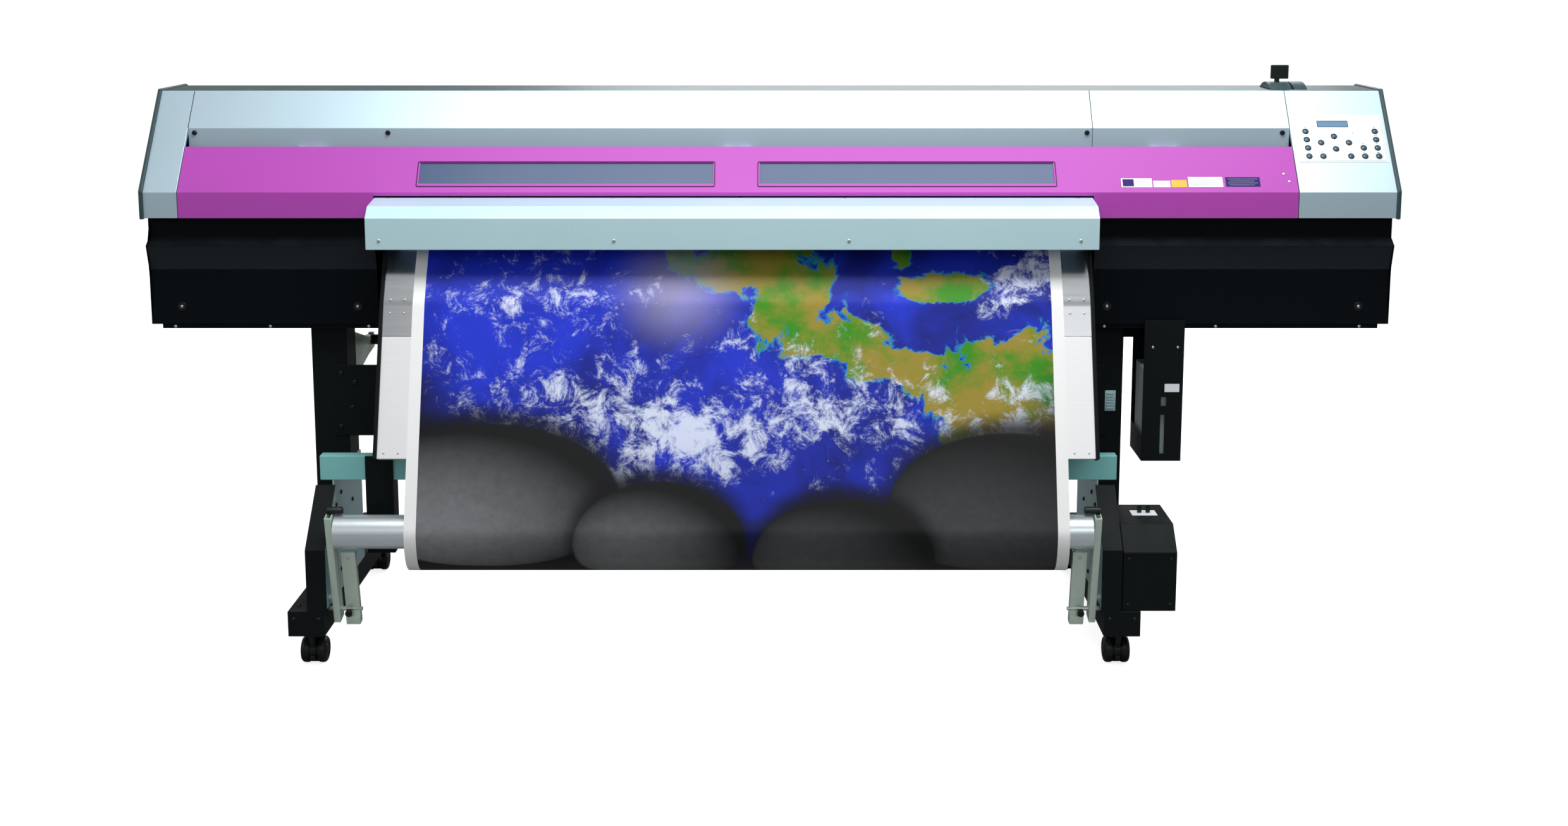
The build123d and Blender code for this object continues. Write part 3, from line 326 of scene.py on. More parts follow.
def print_material(settings):
    """The sample print: a blue marbled disc with green patches, and grey stones below it."""
    made = bpy.data.materials.new("web_print")
    made.use_nodes = True
    tree = made.node_tree
    bsdf = tree.nodes["Principled BSDF"]
    place = shade(tree, "ShaderNodeAttribute", attribute_name="web_place").outputs["Vector"]
    split = shade(tree, "ShaderNodeSeparateXYZ", {0: place})
    across, along = split.outputs[0], split.outputs[1]

    def noise(scale, detail, roughness, distortion, shift=0.0):
        moved = shade(tree, "ShaderNodeMapping", {"Vector": place, "Location": (shift, shift * 0.7, shift)})
        return shade(tree, "ShaderNodeTexNoise", {
            "Vector": moved.outputs[0], "Scale": scale, "Detail": detail, "Roughness": roughness,
            "Distortion": distortion,
        }).outputs[0]

    def blob(x, v, wide, tall):
        shifted = shade(tree, "ShaderNodeVectorMath", {0: place, 1: (x, v, 0.0)}, operation="SUBTRACT").outputs[0]
        scaled = shade(
            tree, "ShaderNodeVectorMath", {0: shifted, 1: (1 / wide, 1 / tall, 1.0)}, operation="MULTIPLY",
        ).outputs[0]
        reach = shade(tree, "ShaderNodeVectorMath", {0: scaled}, operation="LENGTH").outputs["Value"]
        return math_node(tree, "SUBTRACT", 1.0, reach)

    sea = mixed(
        tree, ramped(tree, noise(3.5, 6.0, 0.6, 0.8), 0.30, 0.70), (*settings.ink_deep, 1.0),
        (*settings.ink_bright, 1.0),
    )
    coast = noise(11.0, 9.0, 0.66, 0.6, 3.1)
    bias = blob(0.03, 0.08, 0.15, 0.12)
    for x, v, wide, tall in (
        (0.11, 0.20, 0.11, 0.12), (0.20, 0.295, 0.16, 0.055), (0.335, 0.345, 0.13, 0.045), (0.42, 0.405, 0.08, 0.07),
        (0.58, 0.42, 0.22, 0.16), (0.42, 0.180, 0.12, 0.035), (0.35, 0.095, 0.03, 0.05), (-0.12, 0.11, 0.035, 0.06),
    ):
        bias = math_node(tree, "MAXIMUM", bias, blob(x, v, wide, tall))
    height = math_node(tree, "ADD", coast, math_node(tree, "MULTIPLY", bias, 0.36))
    shore = ramped(tree, height, 0.50, 0.56)
    picture = mixed(tree, math_node(tree, "MULTIPLY", shore, 0.75), sea, (0.01, 0.30, 0.62, 1.0))
    earth = mixed(
        tree, ramped(tree, noise(7.0, 8.0, 0.62, 0.3, 1.3), 0.40, 0.60), (0.035, 0.24, 0.006, 1.0),
        (0.30, 0.23, 0.03, 1.0),
    )
    picture = mixed(tree, ramped(tree, height, 0.545, 0.575), picture, earth)
    band = math_node(tree, "MAXIMUM", blob(0.0, 0.47, 0.80, 0.17), blob(-0.36, 0.12, 0.26, 0.16))
    band = math_node(
        tree, "MAXIMUM", band, math_node(tree, "MAXIMUM", blob(0.60, 0.40, 0.20, 0.20), blob(0.58, 0.16, 0.13, 0.14)),
    )
    broad = math_node(
        tree, "ADD", math_node(tree, "MULTIPLY", noise(3.0, 4.0, 0.6, 1.0, 9.4), 0.40),
        math_node(tree, "MULTIPLY", noise(20.0, 11.0, 0.80, 0.5, 7.7), 0.60),
    )
    cloud = math_node(tree, "ADD", broad, math_node(tree, "MULTIPLY", math_node(tree, "MAXIMUM", band, -0.4), 0.085))
    picture = mixed(
        tree, math_node(tree, "MULTIPLY", ramped(tree, cloud, 0.545, 0.64), 0.90), picture, (0.70, 0.77, 0.92, 1.0),
    )
    picture = mixed(
        tree, math_node(tree, "MULTIPLY", ramped(tree, blob(-0.13, 0.18, 0.17, 0.16), 0.0, 1.0), 0.55), picture,
        (0.48, 0.45, 0.66, 1.0),
    )
    rim = shade(
        tree, "ShaderNodeVectorMath", {0: place, 1: (0.02, -0.10, 0.0)}, operation="DISTANCE",
    ).outputs["Value"]
    picture = mixed(tree, ramped(tree, rim, 0.74, 0.90), picture, (0.0010, 0.0012, 0.006, 1.0))
    picture = mixed(
        tree, math_node(tree, "MULTIPLY", ramped(tree, along, 0.45, 0.90), 0.6), picture, (0.001, 0.001, 0.006, 1.0),
    )
    stones = (
        (-0.52, 0.62, 0.28, 0.155, 1.0), (-0.16, 0.715, 0.18, 0.13, 0.85),
        (0.56, 0.640, 0.25, 0.155, 0.28), (0.22, 0.750, 0.19, 0.13, 0.45),
    )
    for x, v, wide, tall, bright in stones:
        shadow = ramped(tree, blob(x, v - 0.010, wide * 1.18, tall * 1.28), 0.0, 0.24)
        picture = mixed(tree, math_node(tree, "MULTIPLY", shadow, 0.9), picture, (0.001, 0.001, 0.004, 1.0))
        stone = shade(tree, "ShaderNodeGroup", {"Place": place}, node_tree=GROUPS["pebble"])
        stone.inputs["Centre"].default_value = (x, v, 0.0)
        stone.inputs["Spread"].default_value = (1 / wide, 1 / tall, 1.0)
        glow = math_node(tree, "POWER", stone.outputs["Shade"], 1.5)
        fine = math_node(tree, "ADD", 0.65, math_node(tree, "MULTIPLY", noise(45.0, 6.0, 0.65, 0.4, x), 0.7))
        tone = mixed(
            tree, math_node(tree, "MULTIPLY", glow, fine), (0.003, 0.0035, 0.004, 1.0),
            (0.20 * bright, 0.21 * bright, 0.22 * bright, 1.0),
        )
        picture = mixed(tree, stone.outputs["Mask"], picture, tone)
    half = 0.6855 - settings.margin
    edge = math_node(tree, "MULTIPLY", math_node(tree, "LESS_THAN", math_node(tree, "ABSOLUTE", across), half),
                     math_node(tree, "GREATER_THAN", along, 0.01))
    tree.links.new(mixed(tree, edge, (*settings.vinyl, 1.0), picture), bsdf.inputs["Base Color"])
    bsdf.inputs["Specular IOR Level"].default_value = 0.25
    surface = math_node(tree, "ADD", 0.36, math_node(tree, "MULTIPLY", noise(14.0, 3.0, 0.5, 0.0), 0.08))
    tree.links.new(surface, bsdf.inputs["Roughness"])
    fine = shade(tree, "ShaderNodeTexNoise", {"Vector": place, "Scale": 1500.0})
    bump = shade(tree, "ShaderNodeBump", {"Strength": 0.04, "Distance": 0.0002, "Height": fine.outputs[0]})
    tree.links.new(bump.outputs[0], bsdf.inputs["Normal"])
    return made


GROUPS = {}
FINISHES = {}


def make_finishes(settings):
    """All materials, by name."""
    GROUPS.update(grain=grain_group(), brushed=brushed_group(), dust=dust_group(), pebble=pebble_group())
    fine = (1400.0, 0.05, 0.16)
    rows = {
        "silver": material("silver_paint", settings.silver, 0.55, 0.44, 0.0, fine, relief=0.15),
        "hatch": material("hatch_paint", settings.hatch, 0.0, 0.46, 0.0, (1400.0, 0.04, 0.08), relief=0.08,
            shine=0.25),
        "window": glass_material("smoked_window", settings.window, 0.34, 0.30, 0.25),
        "shell": material("shell_paint", settings.shell, 0.0, 0.42, 0.0, (700.0, 0.10, 0.15), dust=0.05, relief=0.35,
            shine=0.3),
        "lower": material("lower_paint", settings.lower_black, 0.0, 0.50, 0.0, (800.0, 0.10, 0.3), dust=0.01,
            relief=0.4, shine=0.06),
        # A 2.6 times lighter copy of the lower paint: painted highlight for the downward-tilted band that the key
        # light catches.
        "lower_painted_highlight": material("lower_paint_painted_highlight", tuple(2.6 * c for c in settings.lower_black), 0.0, 0.45, 0.0,
            (800.0, 0.10, 0.3), relief=0.4, shine=0.2),
        "stand": material("stand_powder_coat", settings.stand_black, 0.0, 0.50, 0.0, (600.0, 0.12, 0.3), dust=0.02,
            relief=0.6, shine=0.10),
        "hood": material("hood_paint", settings.hood, 0.30, 0.28, 0.0, (900.0, 0.05, 0.04), relief=0.10),
        "beam": material("beam_paint", settings.beam, 0.15, 0.40, 0.0, (700.0, 0.08, 0.10), relief=0.2, shine=0.4),
        "side_plate": material("side_plate_paint", settings.plate, 0.35, 0.40, 0.0, (500.0, 0.15, 0.12), relief=0.2),
        "zinc": material("zinc_plating", settings.zinc, 0.45, 0.36, 0.0, (90.0, 0.35, 0.18), relief=0.06),
        "polished": material("polished_plate", (0.60, 0.62, 0.64), 1.0, 0.22, brushed=((6.0, 500.0, 500.0), 0.10),
            relief=0.05),
        "bright": material("bright_plate", (0.84, 0.85, 0.86), 0.35, 0.38, brushed=((8.0, 420.0, 420.0), 0.08),
            relief=0.06),
        "aluminium": material("aluminium_tube", (0.78, 0.86, 0.90), 0.75, 0.28, brushed=((5.0, 700.0, 700.0), 0.10),
            relief=0.06),
        "steel": material("ground_steel", (0.56, 0.56, 0.57), 1.0, 0.25, brushed=((5.0, 500.0, 500.0), 0.15),
            relief=0.05),
        "screw": material("screw_zinc", (0.62, 0.66, 0.64), 0.9, 0.28, grain=(300.0, 0.1, 0.1), relief=0.05),
        "bolt": material("blackened_bolt", (0.010, 0.011, 0.014), 0.4, 0.38, grain=(400.0, 0.1, 0.2), relief=0.1),
        "black_plastic": material("black_plastic", (0.006, 0.008, 0.009), 0.0, 0.42, grain=(900.0, 0.1, 0.2),
            relief=0.3, shine=0.3),
        "dark_fitting_and_gap_shadow": material("dark_fitting_and_gap_shadow", (0.004, 0.005, 0.006), 0.0, 0.5, grain=(500.0, 0.1, 0.2),
            relief=0.2, shine=0.2),
        "key": material("key_plastic", settings.key, 0.0, 0.30, 0.0, (300.0, 0.15, 0.05), relief=0.02),
        "overlay": material("panel_film", settings.overlay, 0.2, 0.40, 0.0, (1600.0, 0.03, 0.03), relief=0.06),
        "panel_mark": material("panel_mark", (0.05, 0.08, 0.14), 0.0, 0.45, grain=(900.0, 0.05, 0.1)),
        "lcd": material("display_glass", (0.13, 0.25, 0.38), 0.0, 0.55, 0.0, (1800.0, 0.08, 0.25), relief=0.0,
            shine=0.1),
        "sticker_white": material("sticker_white", (0.80, 0.84, 0.88), 0.0, 0.45, 0.0, (500.0, 0.05, 0.05),
            relief=0.02, shine=0.3),
        "sticker_grey": material("sticker_grey", (0.30, 0.33, 0.38), 0.0, 0.45, 0.0, (500.0, 0.05, 0.05),
            relief=0.02, shine=0.3),
        "sticker_dark": material("sticker_dark", (0.03, 0.02, 0.13), 0.0, 0.55, 0.0, (500.0, 0.05, 0.05),
            relief=0.02, shine=0.1),
        "sticker_amber": material("sticker_amber", (0.80, 0.42, 0.03), 0.0, 0.45, 0.0, (500.0, 0.05, 0.05),
            relief=0.02, shine=0.3),
        "vinyl": material("plain_web", settings.vinyl, 0.0, 0.34, 0.0, (1500.0, 0.03, 0.03), relief=0.04),
        "rubber": material("roller_rubber", (0.015, 0.015, 0.016), 0.0, 0.6, grain=(1200.0, 0.1, 0.3), relief=0.5,
            shine=0.3),
        "wheel": material("caster_plastic", (0.0045, 0.0055, 0.006), 0.0, 0.36, 0.0, (500.0, 0.15, 0.2), dust=0.05,
            relief=0.2, shine=0.3),
        "bottle": glass_material("bottle_plastic", (0.42, 0.55, 0.54), 0.38, 0.25),
        "belt": material("belt_rubber", (0.02, 0.02, 0.02), 0.0, 0.55, grain=(700.0, 0.1, 0.2), relief=0.3),
        "print": print_material(settings),
    }
    FINISHES.update(rows)


# ---------------------------------------------------------------- mesh tools

def piece(name, bm, node, *finishes, sharp=35.0, replace=True):
    """An object from a bmesh that rides on a node's body, stands for it and has its slot."""
    mesh = bpy.data.meshes.new(name)
    bm.to_mesh(mesh)
    bm.free()
    for finish in finishes:
        mesh.materials.append(FINISHES[finish])
    mesh.polygons.foreach_set("use_smooth", [True] * len(mesh.polygons))
    mesh.set_sharp_from_angle(angle=math.radians(sharp))
    made = bpy.data.objects.new(name, mesh)
    bpy.context.scene.collection.objects.link(made)
    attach(made, BODY_OF[node])
    if replace:
        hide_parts(node)
    return made


def merged_copy(node):
    """A CAD node's shape with its corners joined and its flat faces whole."""
    bm = bmesh.new()
    bm.from_mesh(NODES[node].data)
    bmesh.ops.remove_doubles(bm, verts=bm.verts, dist=2e-6)
    bmesh.ops.dissolve_limit(bm, angle_limit=math.radians(0.4), verts=bm.verts, edges=bm.edges)
    return bm


def shells(bm):
    """The separate closed shells of a bmesh, as (vertices, lowest corner, highest corner)."""
    found = []
    seen = set()
    for start in bm.verts:
        if start in seen:
            continue
        stack, members = [start], []
        seen.add(start)
        while stack:
            vert = stack.pop()
            members.append(vert)
            for edge in vert.link_edges:
                other = edge.other_vert(vert)
                if other not in seen:
                    seen.add(other)
                    stack.append(other)
        low = Vector([min(v.co[i] for v in members) for i in range(3)])
        high = Vector([max(v.co[i] for v in members) for i in range(3)])
        found.append((members, low, high))
    return found


def rounded(bm, width, segments=2, angle=30.0):
    """Bevels every edge sharper than an angle."""
    if width:
        edges = [e for e in bm.edges if e.is_manifold and e.calc_face_angle(0.0) > math.radians(angle)]
        bmesh.ops.bevel(
            bm, geom=edges, offset=width, offset_type="OFFSET", segments=segments, profile=0.5,
            affect="EDGES", clamp_overlap=False, material=-1,
        )
    return bm


def dressed(name, node, finish, width=0.0008, wanted=None, segments=2):
    """A CAD node, or the wanted shells of it, with rounded edges and a finish."""
    bm = merged_copy(node)
    if wanted:
        for members, low, high in shells(bm):
            if not wanted(low, high):
                bmesh.ops.delete(bm, geom=members, context="VERTS")
    made = piece(name, rounded(bm, width, segments), node, finish)
    shading = made.modifiers.new("even_shading", "WEIGHTED_NORMAL")
    shading.keep_sharp = True
    return made


def middle_of(node):
    """The middle of a CAD node's box."""
    low, high = (Vector(corner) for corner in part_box(node))
    return (low + high) / 2


def gathered(parts):
    """One bmesh from several."""
    whole = bmesh.new()
    for part in parts:
        mesh = bpy.data.meshes.new("part")
        part.to_mesh(mesh)
        part.free()
        whole.from_mesh(mesh)
        bpy.data.meshes.remove(mesh)
    return whole


def turned(profile, at, axis, steps=28, closed=False):
    """A profile of (radius, height) spun about an axis through a point."""
    bm = bmesh.new()
    ring = [bm.verts.new((r, 0.0, h)) for r, h in profile]
    pairs = list(zip(ring, ring[1:])) + ([(ring[-1], ring[0])] if closed else [])
    edges = [bm.edges.new(pair) for pair in pairs]
    bmesh.ops.spin(
        bm, geom=ring + edges, cent=(0, 0, 0), axis=(0, 0, 1), angle=math.tau, steps=steps, use_merge=True,
    )
    bmesh.ops.remove_doubles(bm, verts=bm.verts, dist=1e-7)
    bmesh.ops.recalc_face_normals(bm, faces=bm.faces)
    turn = UP.rotation_difference(Vector(axis)).to_matrix().to_4x4()
    bmesh.ops.transform(bm, matrix=Matrix.Translation(Vector(at)) @ turn, verts=bm.verts)
    return bm


def slab(size, at, frame_axes=None, width=0.0, segments=2):
    """A box of a size about a point, turned to three axes, with rounded edges."""
    bm = bmesh.new()
    bmesh.ops.create_cube(bm, size=1.0)
    bmesh.ops.scale(bm, vec=size, verts=bm.verts)
    rounded(bm, width, segments)
    if frame_axes:
        turn = Matrix(frame_axes).transposed().to_4x4()
        bmesh.ops.transform(bm, matrix=turn, verts=bm.verts)
    bmesh.ops.translate(bm, vec=at, verts=bm.verts)
    return bm


SLOPE_AXES = (Vector((1, 0, 0)), UP_SLOPE, OUT_SLOPE)


def on_slope(x, up, out=0.0):
    """A point on the sloping front, in metres."""
    return Vector((x, KNEE.y, KNEE.z)) + UP_SLOPE * up + OUT_SLOPE * out


def frame_ring(x0, x1, low, high, corner, line, lift):
    """A thin rounded outline lying on the sloping front."""
    bm = bmesh.new()
    bmesh.ops.create_grid(bm, x_segments=1, y_segments=1, size=0.5)
    bmesh.ops.scale(bm, vec=(x1 - x0, high - low, 1.0), verts=bm.verts)
    bmesh.ops.bevel(
        bm, geom=bm.verts[:], offset=corner, offset_type="OFFSET", segments=6, profile=0.5, affect="VERTICES",
        clamp_overlap=True, material=-1,
    )
    inner = bm.faces[:]
    bmesh.ops.inset_region(bm, faces=inner, thickness=line, use_boundary=True, use_even_offset=True)
    bmesh.ops.delete(bm, geom=inner, context="FACES")
    grown = bmesh.ops.extrude_face_region(bm, geom=bm.faces[:])
    bmesh.ops.translate(bm, vec=(0, 0, lift), verts=[v for v in grown["geom"] if isinstance(v, bmesh.types.BMVert)])
    bmesh.ops.recalc_face_normals(bm, faces=bm.faces)
    turn = Matrix(SLOPE_AXES).transposed().to_4x4()
    place = Matrix.Translation(on_slope((x0 + x1) / 2, (low + high) / 2, 0.00102))
    bmesh.ops.transform(bm, matrix=place @ turn, verts=bm.verts)
    return bm


def screw(at, axis, radius, rise, recess=True):
    """A domed screw head, with a round socket in it unless recess is off."""
    hollow = 0.42 * radius
    profile = [
        (0.0, -0.0006), (radius, -0.0006), (radius, 0.25 * rise), (0.86 * radius, 0.72 * rise), (0.6 * radius, rise),
    ]
    if recess:
        profile += [(hollow, rise), (hollow, 0.45 * rise), (0.0, 0.40 * rise)]
    else:
        profile += [(0.0, 1.08 * rise)]
    return turned(profile, at, axis, 18)


def smoothed(points, step):
    """A smooth line through (y, z) points, sampled about every step, with long runs kept straight."""
    dense = []
    for a, b in zip(points, points[1:]):
        a, b = Vector(a), Vector(b)
        dense.append(a)
        if (b - a).length > 0.05:
            dense += [a.lerp(b, 0.014 / (b - a).length), b.lerp(a, 0.014 / (b - a).length)]
    dense.append(Vector(points[-1]))
    line = [dense[0].copy()]
    for i in range(len(dense) - 1):
        p1, p2 = dense[i], dense[i + 1]
        p0 = dense[i - 1] if i else p1 * 2 - p2
        p3 = dense[i + 2] if i + 2 < len(dense) else p2 * 2 - p1
        t1 = math.sqrt((p1 - p0).length)
        t2 = t1 + math.sqrt((p2 - p1).length)
        t3 = t2 + math.sqrt((p3 - p2).length)
        count = max(1, round((p2 - p1).length / step))
        for k in range(1, count + 1):
            t = t1 + (t2 - t1) * k / count
            a1 = p0.lerp(p1, t / t1)
            a2 = p1.lerp(p2, (t - t1) / (t2 - t1))
            a3 = p2.lerp(p3, (t - t2) / (t3 - t2))
            b1 = a1.lerp(a2, t / t2)
            b2 = a2.lerp(a3, (t - t1) / (t3 - t1))
            line.append(b1.lerp(b2, (t - t1) / (t2 - t1)))
    return line


def ribbon(line, x0, x1, wall, cuts, marks=None):
    """Sheet that follows a (y, z) line; marks gives the distance along it at each point."""
    bm = bmesh.new()
    layer = bm.verts.layers.float_vector.new("web_place") if marks else None
    chain = [bm.verts.new((x0, p.x, p.y)) for p in line]
    edges = [bm.edges.new(pair) for pair in zip(chain, chain[1:])]
    if marks:
        for vert, mark in zip(chain, marks):
            vert[layer] = (-(x1 - x0) / 2, mark, 0.0)
    grown = bmesh.ops.extrude_edge_only(bm, edges=edges)
    far = [v for v in grown["geom"] if isinstance(v, bmesh.types.BMVert)]
    bmesh.ops.translate(bm, vec=(x1 - x0, 0, 0), verts=far)
    if marks:
        for vert in far:
            vert[layer] = ((x1 - x0) / 2, vert[layer][1], 0.0)
    across = [e for e in bm.edges if abs(e.verts[0].co.x - e.verts[1].co.x) > 0.1]
    bmesh.ops.subdivide_edges(bm, edges=across, cuts=cuts, use_grid_fill=True)
    bmesh.ops.recalc_face_normals(bm, faces=bm.faces)
    front = [f for f in bm.faces if f.normal.y < -0.3 or f.normal.z > 0.7]
    if len(front) * 2 < len(bm.faces):
        bmesh.ops.reverse_faces(bm, faces=bm.faces)
    sheet = bm.faces[:]
    bmesh.ops.solidify(bm, geom=sheet, thickness=wall)
    return bm


# ---------------------------------------------------------------- operators

class PRINTER_OT_finishes(bpy.types.Operator):
    """Make the paints, platings, plastics and the sample print."""

    bl_idname = "printer.finishes"
    bl_label = "Finishes"

    def execute(self, context):
        make_finishes(context.scene.printer_cutter)
        for obj in NODES.values():
            obj.data.materials.clear()
            obj.data.materials.append(FINISHES["dark_fitting_and_gap_shadow"])
        return {"FINISHED"}


class PRINTER_OT_upper_body(bpy.types.Operator):
    """Dress the caps, cheeks, upper panels, rear cover and loading lever."""

    bl_idname = "printer.upper_body"
    bl_label = "Upper body"

    def execute(self, context):
        edge = context.scene.printer_cutter.edge_round
        dressed("end_caps", "end_covers", "silver", 0.0011)
        dressed("side_cheeks", "side_panels", "shell", 0.0022, segments=3)
        dressed("upper_panels", "upper_front_covers", "silver", edge)
        # Thin dark strips along the gaps between the silver panels and caps: painted shadow, standing in for the shade
        # inside those gaps.
        seams = [
            slab((0.0014, 0.0960, 0.0005), on_slope(x, 0.2115, 0.0001), SLOPE_AXES) for x in (-1.2698, 0.7030, 1.1328)
        ]
        piece("panel_gap_shadows", gathered(seams), "upper_front_covers", "dark_fitting_and_gap_shadow", replace=False)
        dressed("rear_shell", "rear_cover", "shell", edge)
        dressed("lever_humps", "lever_housing", "shell", 0.0015, lambda low, high: low.z > EAR_TOP)
        dressed("lever_ears", "lever_housing", "black_plastic", edge, lambda low, high: low.z < EAR_TOP)
        dressed("lever_paddle", "loading_lever", "black_plastic", 0.0006)
        return {"FINISHED"}


class PRINTER_OT_hatch(bpy.types.Operator):
    """Dress the hinged front cover, its windows, screws and blank stickers."""

    bl_idname = "printer.hatch"
    bl_label = "Front cover"

    def execute(self, context):
        dressed("hatch_shell", "front_cover", "hatch", 0.0010)
        dressed("hatch_windows", "cover_windows", "window", 0.0004)
        heads = [screw(on_slope(x, up), OUT_SLOPE, 0.0034, 0.0016) for x, up in ((1.104, 0.046), (1.114, 0.027))]
        piece("hatch_screws", gathered(heads), "front_cover", "screw", replace=False)
        for name, finish, x, up, wide, tall in (
            ("sticker_a", "sticker_white", 0.786, 0.024, 0.066, 0.022),
            ("sticker_b", "sticker_white", 0.840, 0.021, 0.036, 0.016),
            ("sticker_c", "sticker_amber", 0.877, 0.022, 0.033, 0.018),
            ("sticker_d", "sticker_white", 0.934, 0.026, 0.074, 0.025),
            ("sticker_e", "sticker_dark", 1.014, 0.026, 0.074, 0.024),
        ):
            made = slab((wide, tall, 0.0002), on_slope(x, up, 0.00012), SLOPE_AXES)
            piece(name, made, "front_cover", finish, replace=False)
        lines = []
        for x, up, count, wide in ((0.798, 0.024, 3, 0.034), (0.930, 0.026, 4, 0.060), (1.014, 0.026, 4, 0.064)):
            for row in range(count):
                lines.append(
                    slab((wide - 0.01 * (row % 2), 0.0008, 0.0002),
                        on_slope(x - 0.002 * (row % 2), up + 0.0075 - 0.005 * row, 0.00028), SLOPE_AXES)
                )
        patch = slab((0.024, 0.018, 0.0002), on_slope(0.768, 0.024, 0.00028), SLOPE_AXES)
        piece("sticker_patch", patch, "front_cover", "sticker_dark", replace=False)
        trims = []
        for _, low, high in shells(merged_copy("cover_windows")):
            bottom, top = ((z - KNEE.z) / UP_SLOPE.z for z in (low.z, high.z))
            trims.append(
                frame_ring(low.x - 0.001, high.x + 0.001, bottom - 0.001, top + 0.001, 0.004, 0.0016, 0.0003)
            )
        piece("window_trims", gathered(trims), "front_cover", "dark_fitting_and_gap_shadow", replace=False)
        piece("sticker_rules", gathered(lines), "front_cover", "sticker_grey", replace=False)
        return {"FINISHED"}


class PRINTER_OT_control_panel(bpy.types.Operator):
    """Build the panel film, display, domed keys, rims and plain marks."""

    bl_idname = "printer.control_panel"
    bl_label = "Control panel"

    def execute(self, context):
        dressed("panel_film", "control_panel", "overlay", 0.0)
        screen = slab((0.0665, 0.0155, 0.0003), on_slope(1.2265, 0.173, 0.00070), SLOPE_AXES)
        piece("panel_display", screen, "control_panel", "lcd", replace=False)
        rims, marks = [], []
        for node in KEYS:
            seat = middle_of(node) + OUT_SLOPE * KEY_SEAT
            dome = [(0.0, -0.0060), (0.0053, -0.0060), (0.0055, -0.0058), (0.0055, 0.0008), (0.0052, 0.0018),
                    (0.0044, 0.0024), (0.0028, 0.0028), (0.0, 0.0030)]
            piece("key_" + node[7:], turned(dome, seat, OUT_SLOPE), node, "key")
            rims.append(turned(
                [(0.0058, 0.0010), (0.0072, 0.0010), (0.0071, 0.0015), (0.0066, 0.0018), (0.0060, 0.0016),
                    (0.0058, 0.0013)],
                seat, OUT_SLOPE, closed=True,
            ))
            if node in ("button_up", "button_down", "button_left", "button_right"):
                continue
            wide = 0.006 + 0.0015 * (len(node) % 4)
            marks.append(slab((wide, 0.0009, 0.00012), seat + UP_SLOPE * 0.0098 + OUT_SLOPE * 0.00106, SLOPE_AXES))
            marks.append(
                slab((wide * 0.6, 0.0009, 0.00012), seat + UP_SLOPE * 0.0116 + OUT_SLOPE * 0.00106, SLOPE_AXES)
            )
        cross = [
            middle_of(n) + OUT_SLOPE * KEY_SEAT for n in ("button_up", "button_down", "button_left", "button_right")
        ]
        middle = sum(cross, Vector()) / 4
        for seat in cross:
            marks.append(
                turned([(0.0, 0.0), (0.0013, 0.0), (0.0013, 0.0001), (0.0, 0.0001)],
                    seat.lerp(middle, 0.52) + OUT_SLOPE * 0.00102, OUT_SLOPE, 3)
            )
        power = middle_of("button_power") + OUT_SLOPE * KEY_SEAT
        marks.append(
            turned([(0.0088, 0.0010), (0.0094, 0.0010), (0.0094, 0.0012), (0.0088, 0.0012)], power, OUT_SLOPE,
                closed=True)
        )
        marks.append(
            turned([(0.0, 0.0010), (0.0012, 0.0010), (0.0012, 0.0014), (0.0, 0.0015)], on_slope(1.268, 0.150),
                OUT_SLOPE, 12)
        )
        marks.append(frame_ring(1.1455, 1.3325, 0.0785, 0.1935, 0.006, 0.0007, 0.00012))
        piece("key_rims", gathered(rims), "control_panel", "bolt", replace=False)
        piece("panel_marks", gathered(marks), "control_panel", "panel_mark", replace=False)
        bezel = frame_ring(1.1925, 1.2605, 0.1645, 0.1815, 0.0012, 0.0016, 0.0003)
        piece("display_bezel", bezel, "control_panel", "panel_mark", replace=False)
        return {"FINISHED"}


class PRINTER_OT_lower_body(bpy.types.Operator):
    """Dress the lower covers, the base tray and its screws."""

    bl_idname = "printer.lower_body"
    bl_label = "Lower body"

    def execute(self, context):
        covers = dressed("lower_fronts", "lower_front_covers", "lower", 0.0010)
        # Faces of the lower covers above 0.83 m that tilt down and forward get the lighter copy: painted highlight,
        # standing in for the key light falling more strongly on this band.
        covers.data.materials.append(FINISHES["lower_painted_highlight"])
        for face in covers.data.polygons:
            if -0.5 < face.normal.z < -0.15 and face.center.z > 0.83:
                face.material_index = 1
        dressed("base_frame", "chassis_frame", "lower", 0.0006)
        heads = [
            screw((x, -0.091, 0.6935), FRONT, 0.0038, 0.0020, False)
            for x in (-1.292, -1.086, -0.872, 0.726, 0.968, 1.280)
        ]
        piece("tray_screws", gathered(heads), "chassis_frame", "screw", replace=False)
        black, light = [], []
        for _, low, high in shells(merged_copy("fasteners")):
            centre = (low + high) / 2
            at = Vector((centre.x, high.y, centre.z))
            if centre.z > 1.0:
                black.append(screw(at, FRONT, 0.0056, 0.0048))
            elif centre.z > 0.8:
                light.append(screw(at, FRONT, 0.0038, 0.0020))
            else:
                light.append(screw(at, FRONT, 0.0036, 0.0022))
                black.append(
                    turned([(0.0038, 0.0), (0.0098, 0.0), (0.0092, 0.0009), (0.0038, 0.0009)], at, FRONT, closed=True)
                )
        piece("lip_bolts", gathered(black), "fasteners", "bolt")
        piece("cover_screws", gathered(light), "fasteners", "screw")
        return {"FINISHED"}


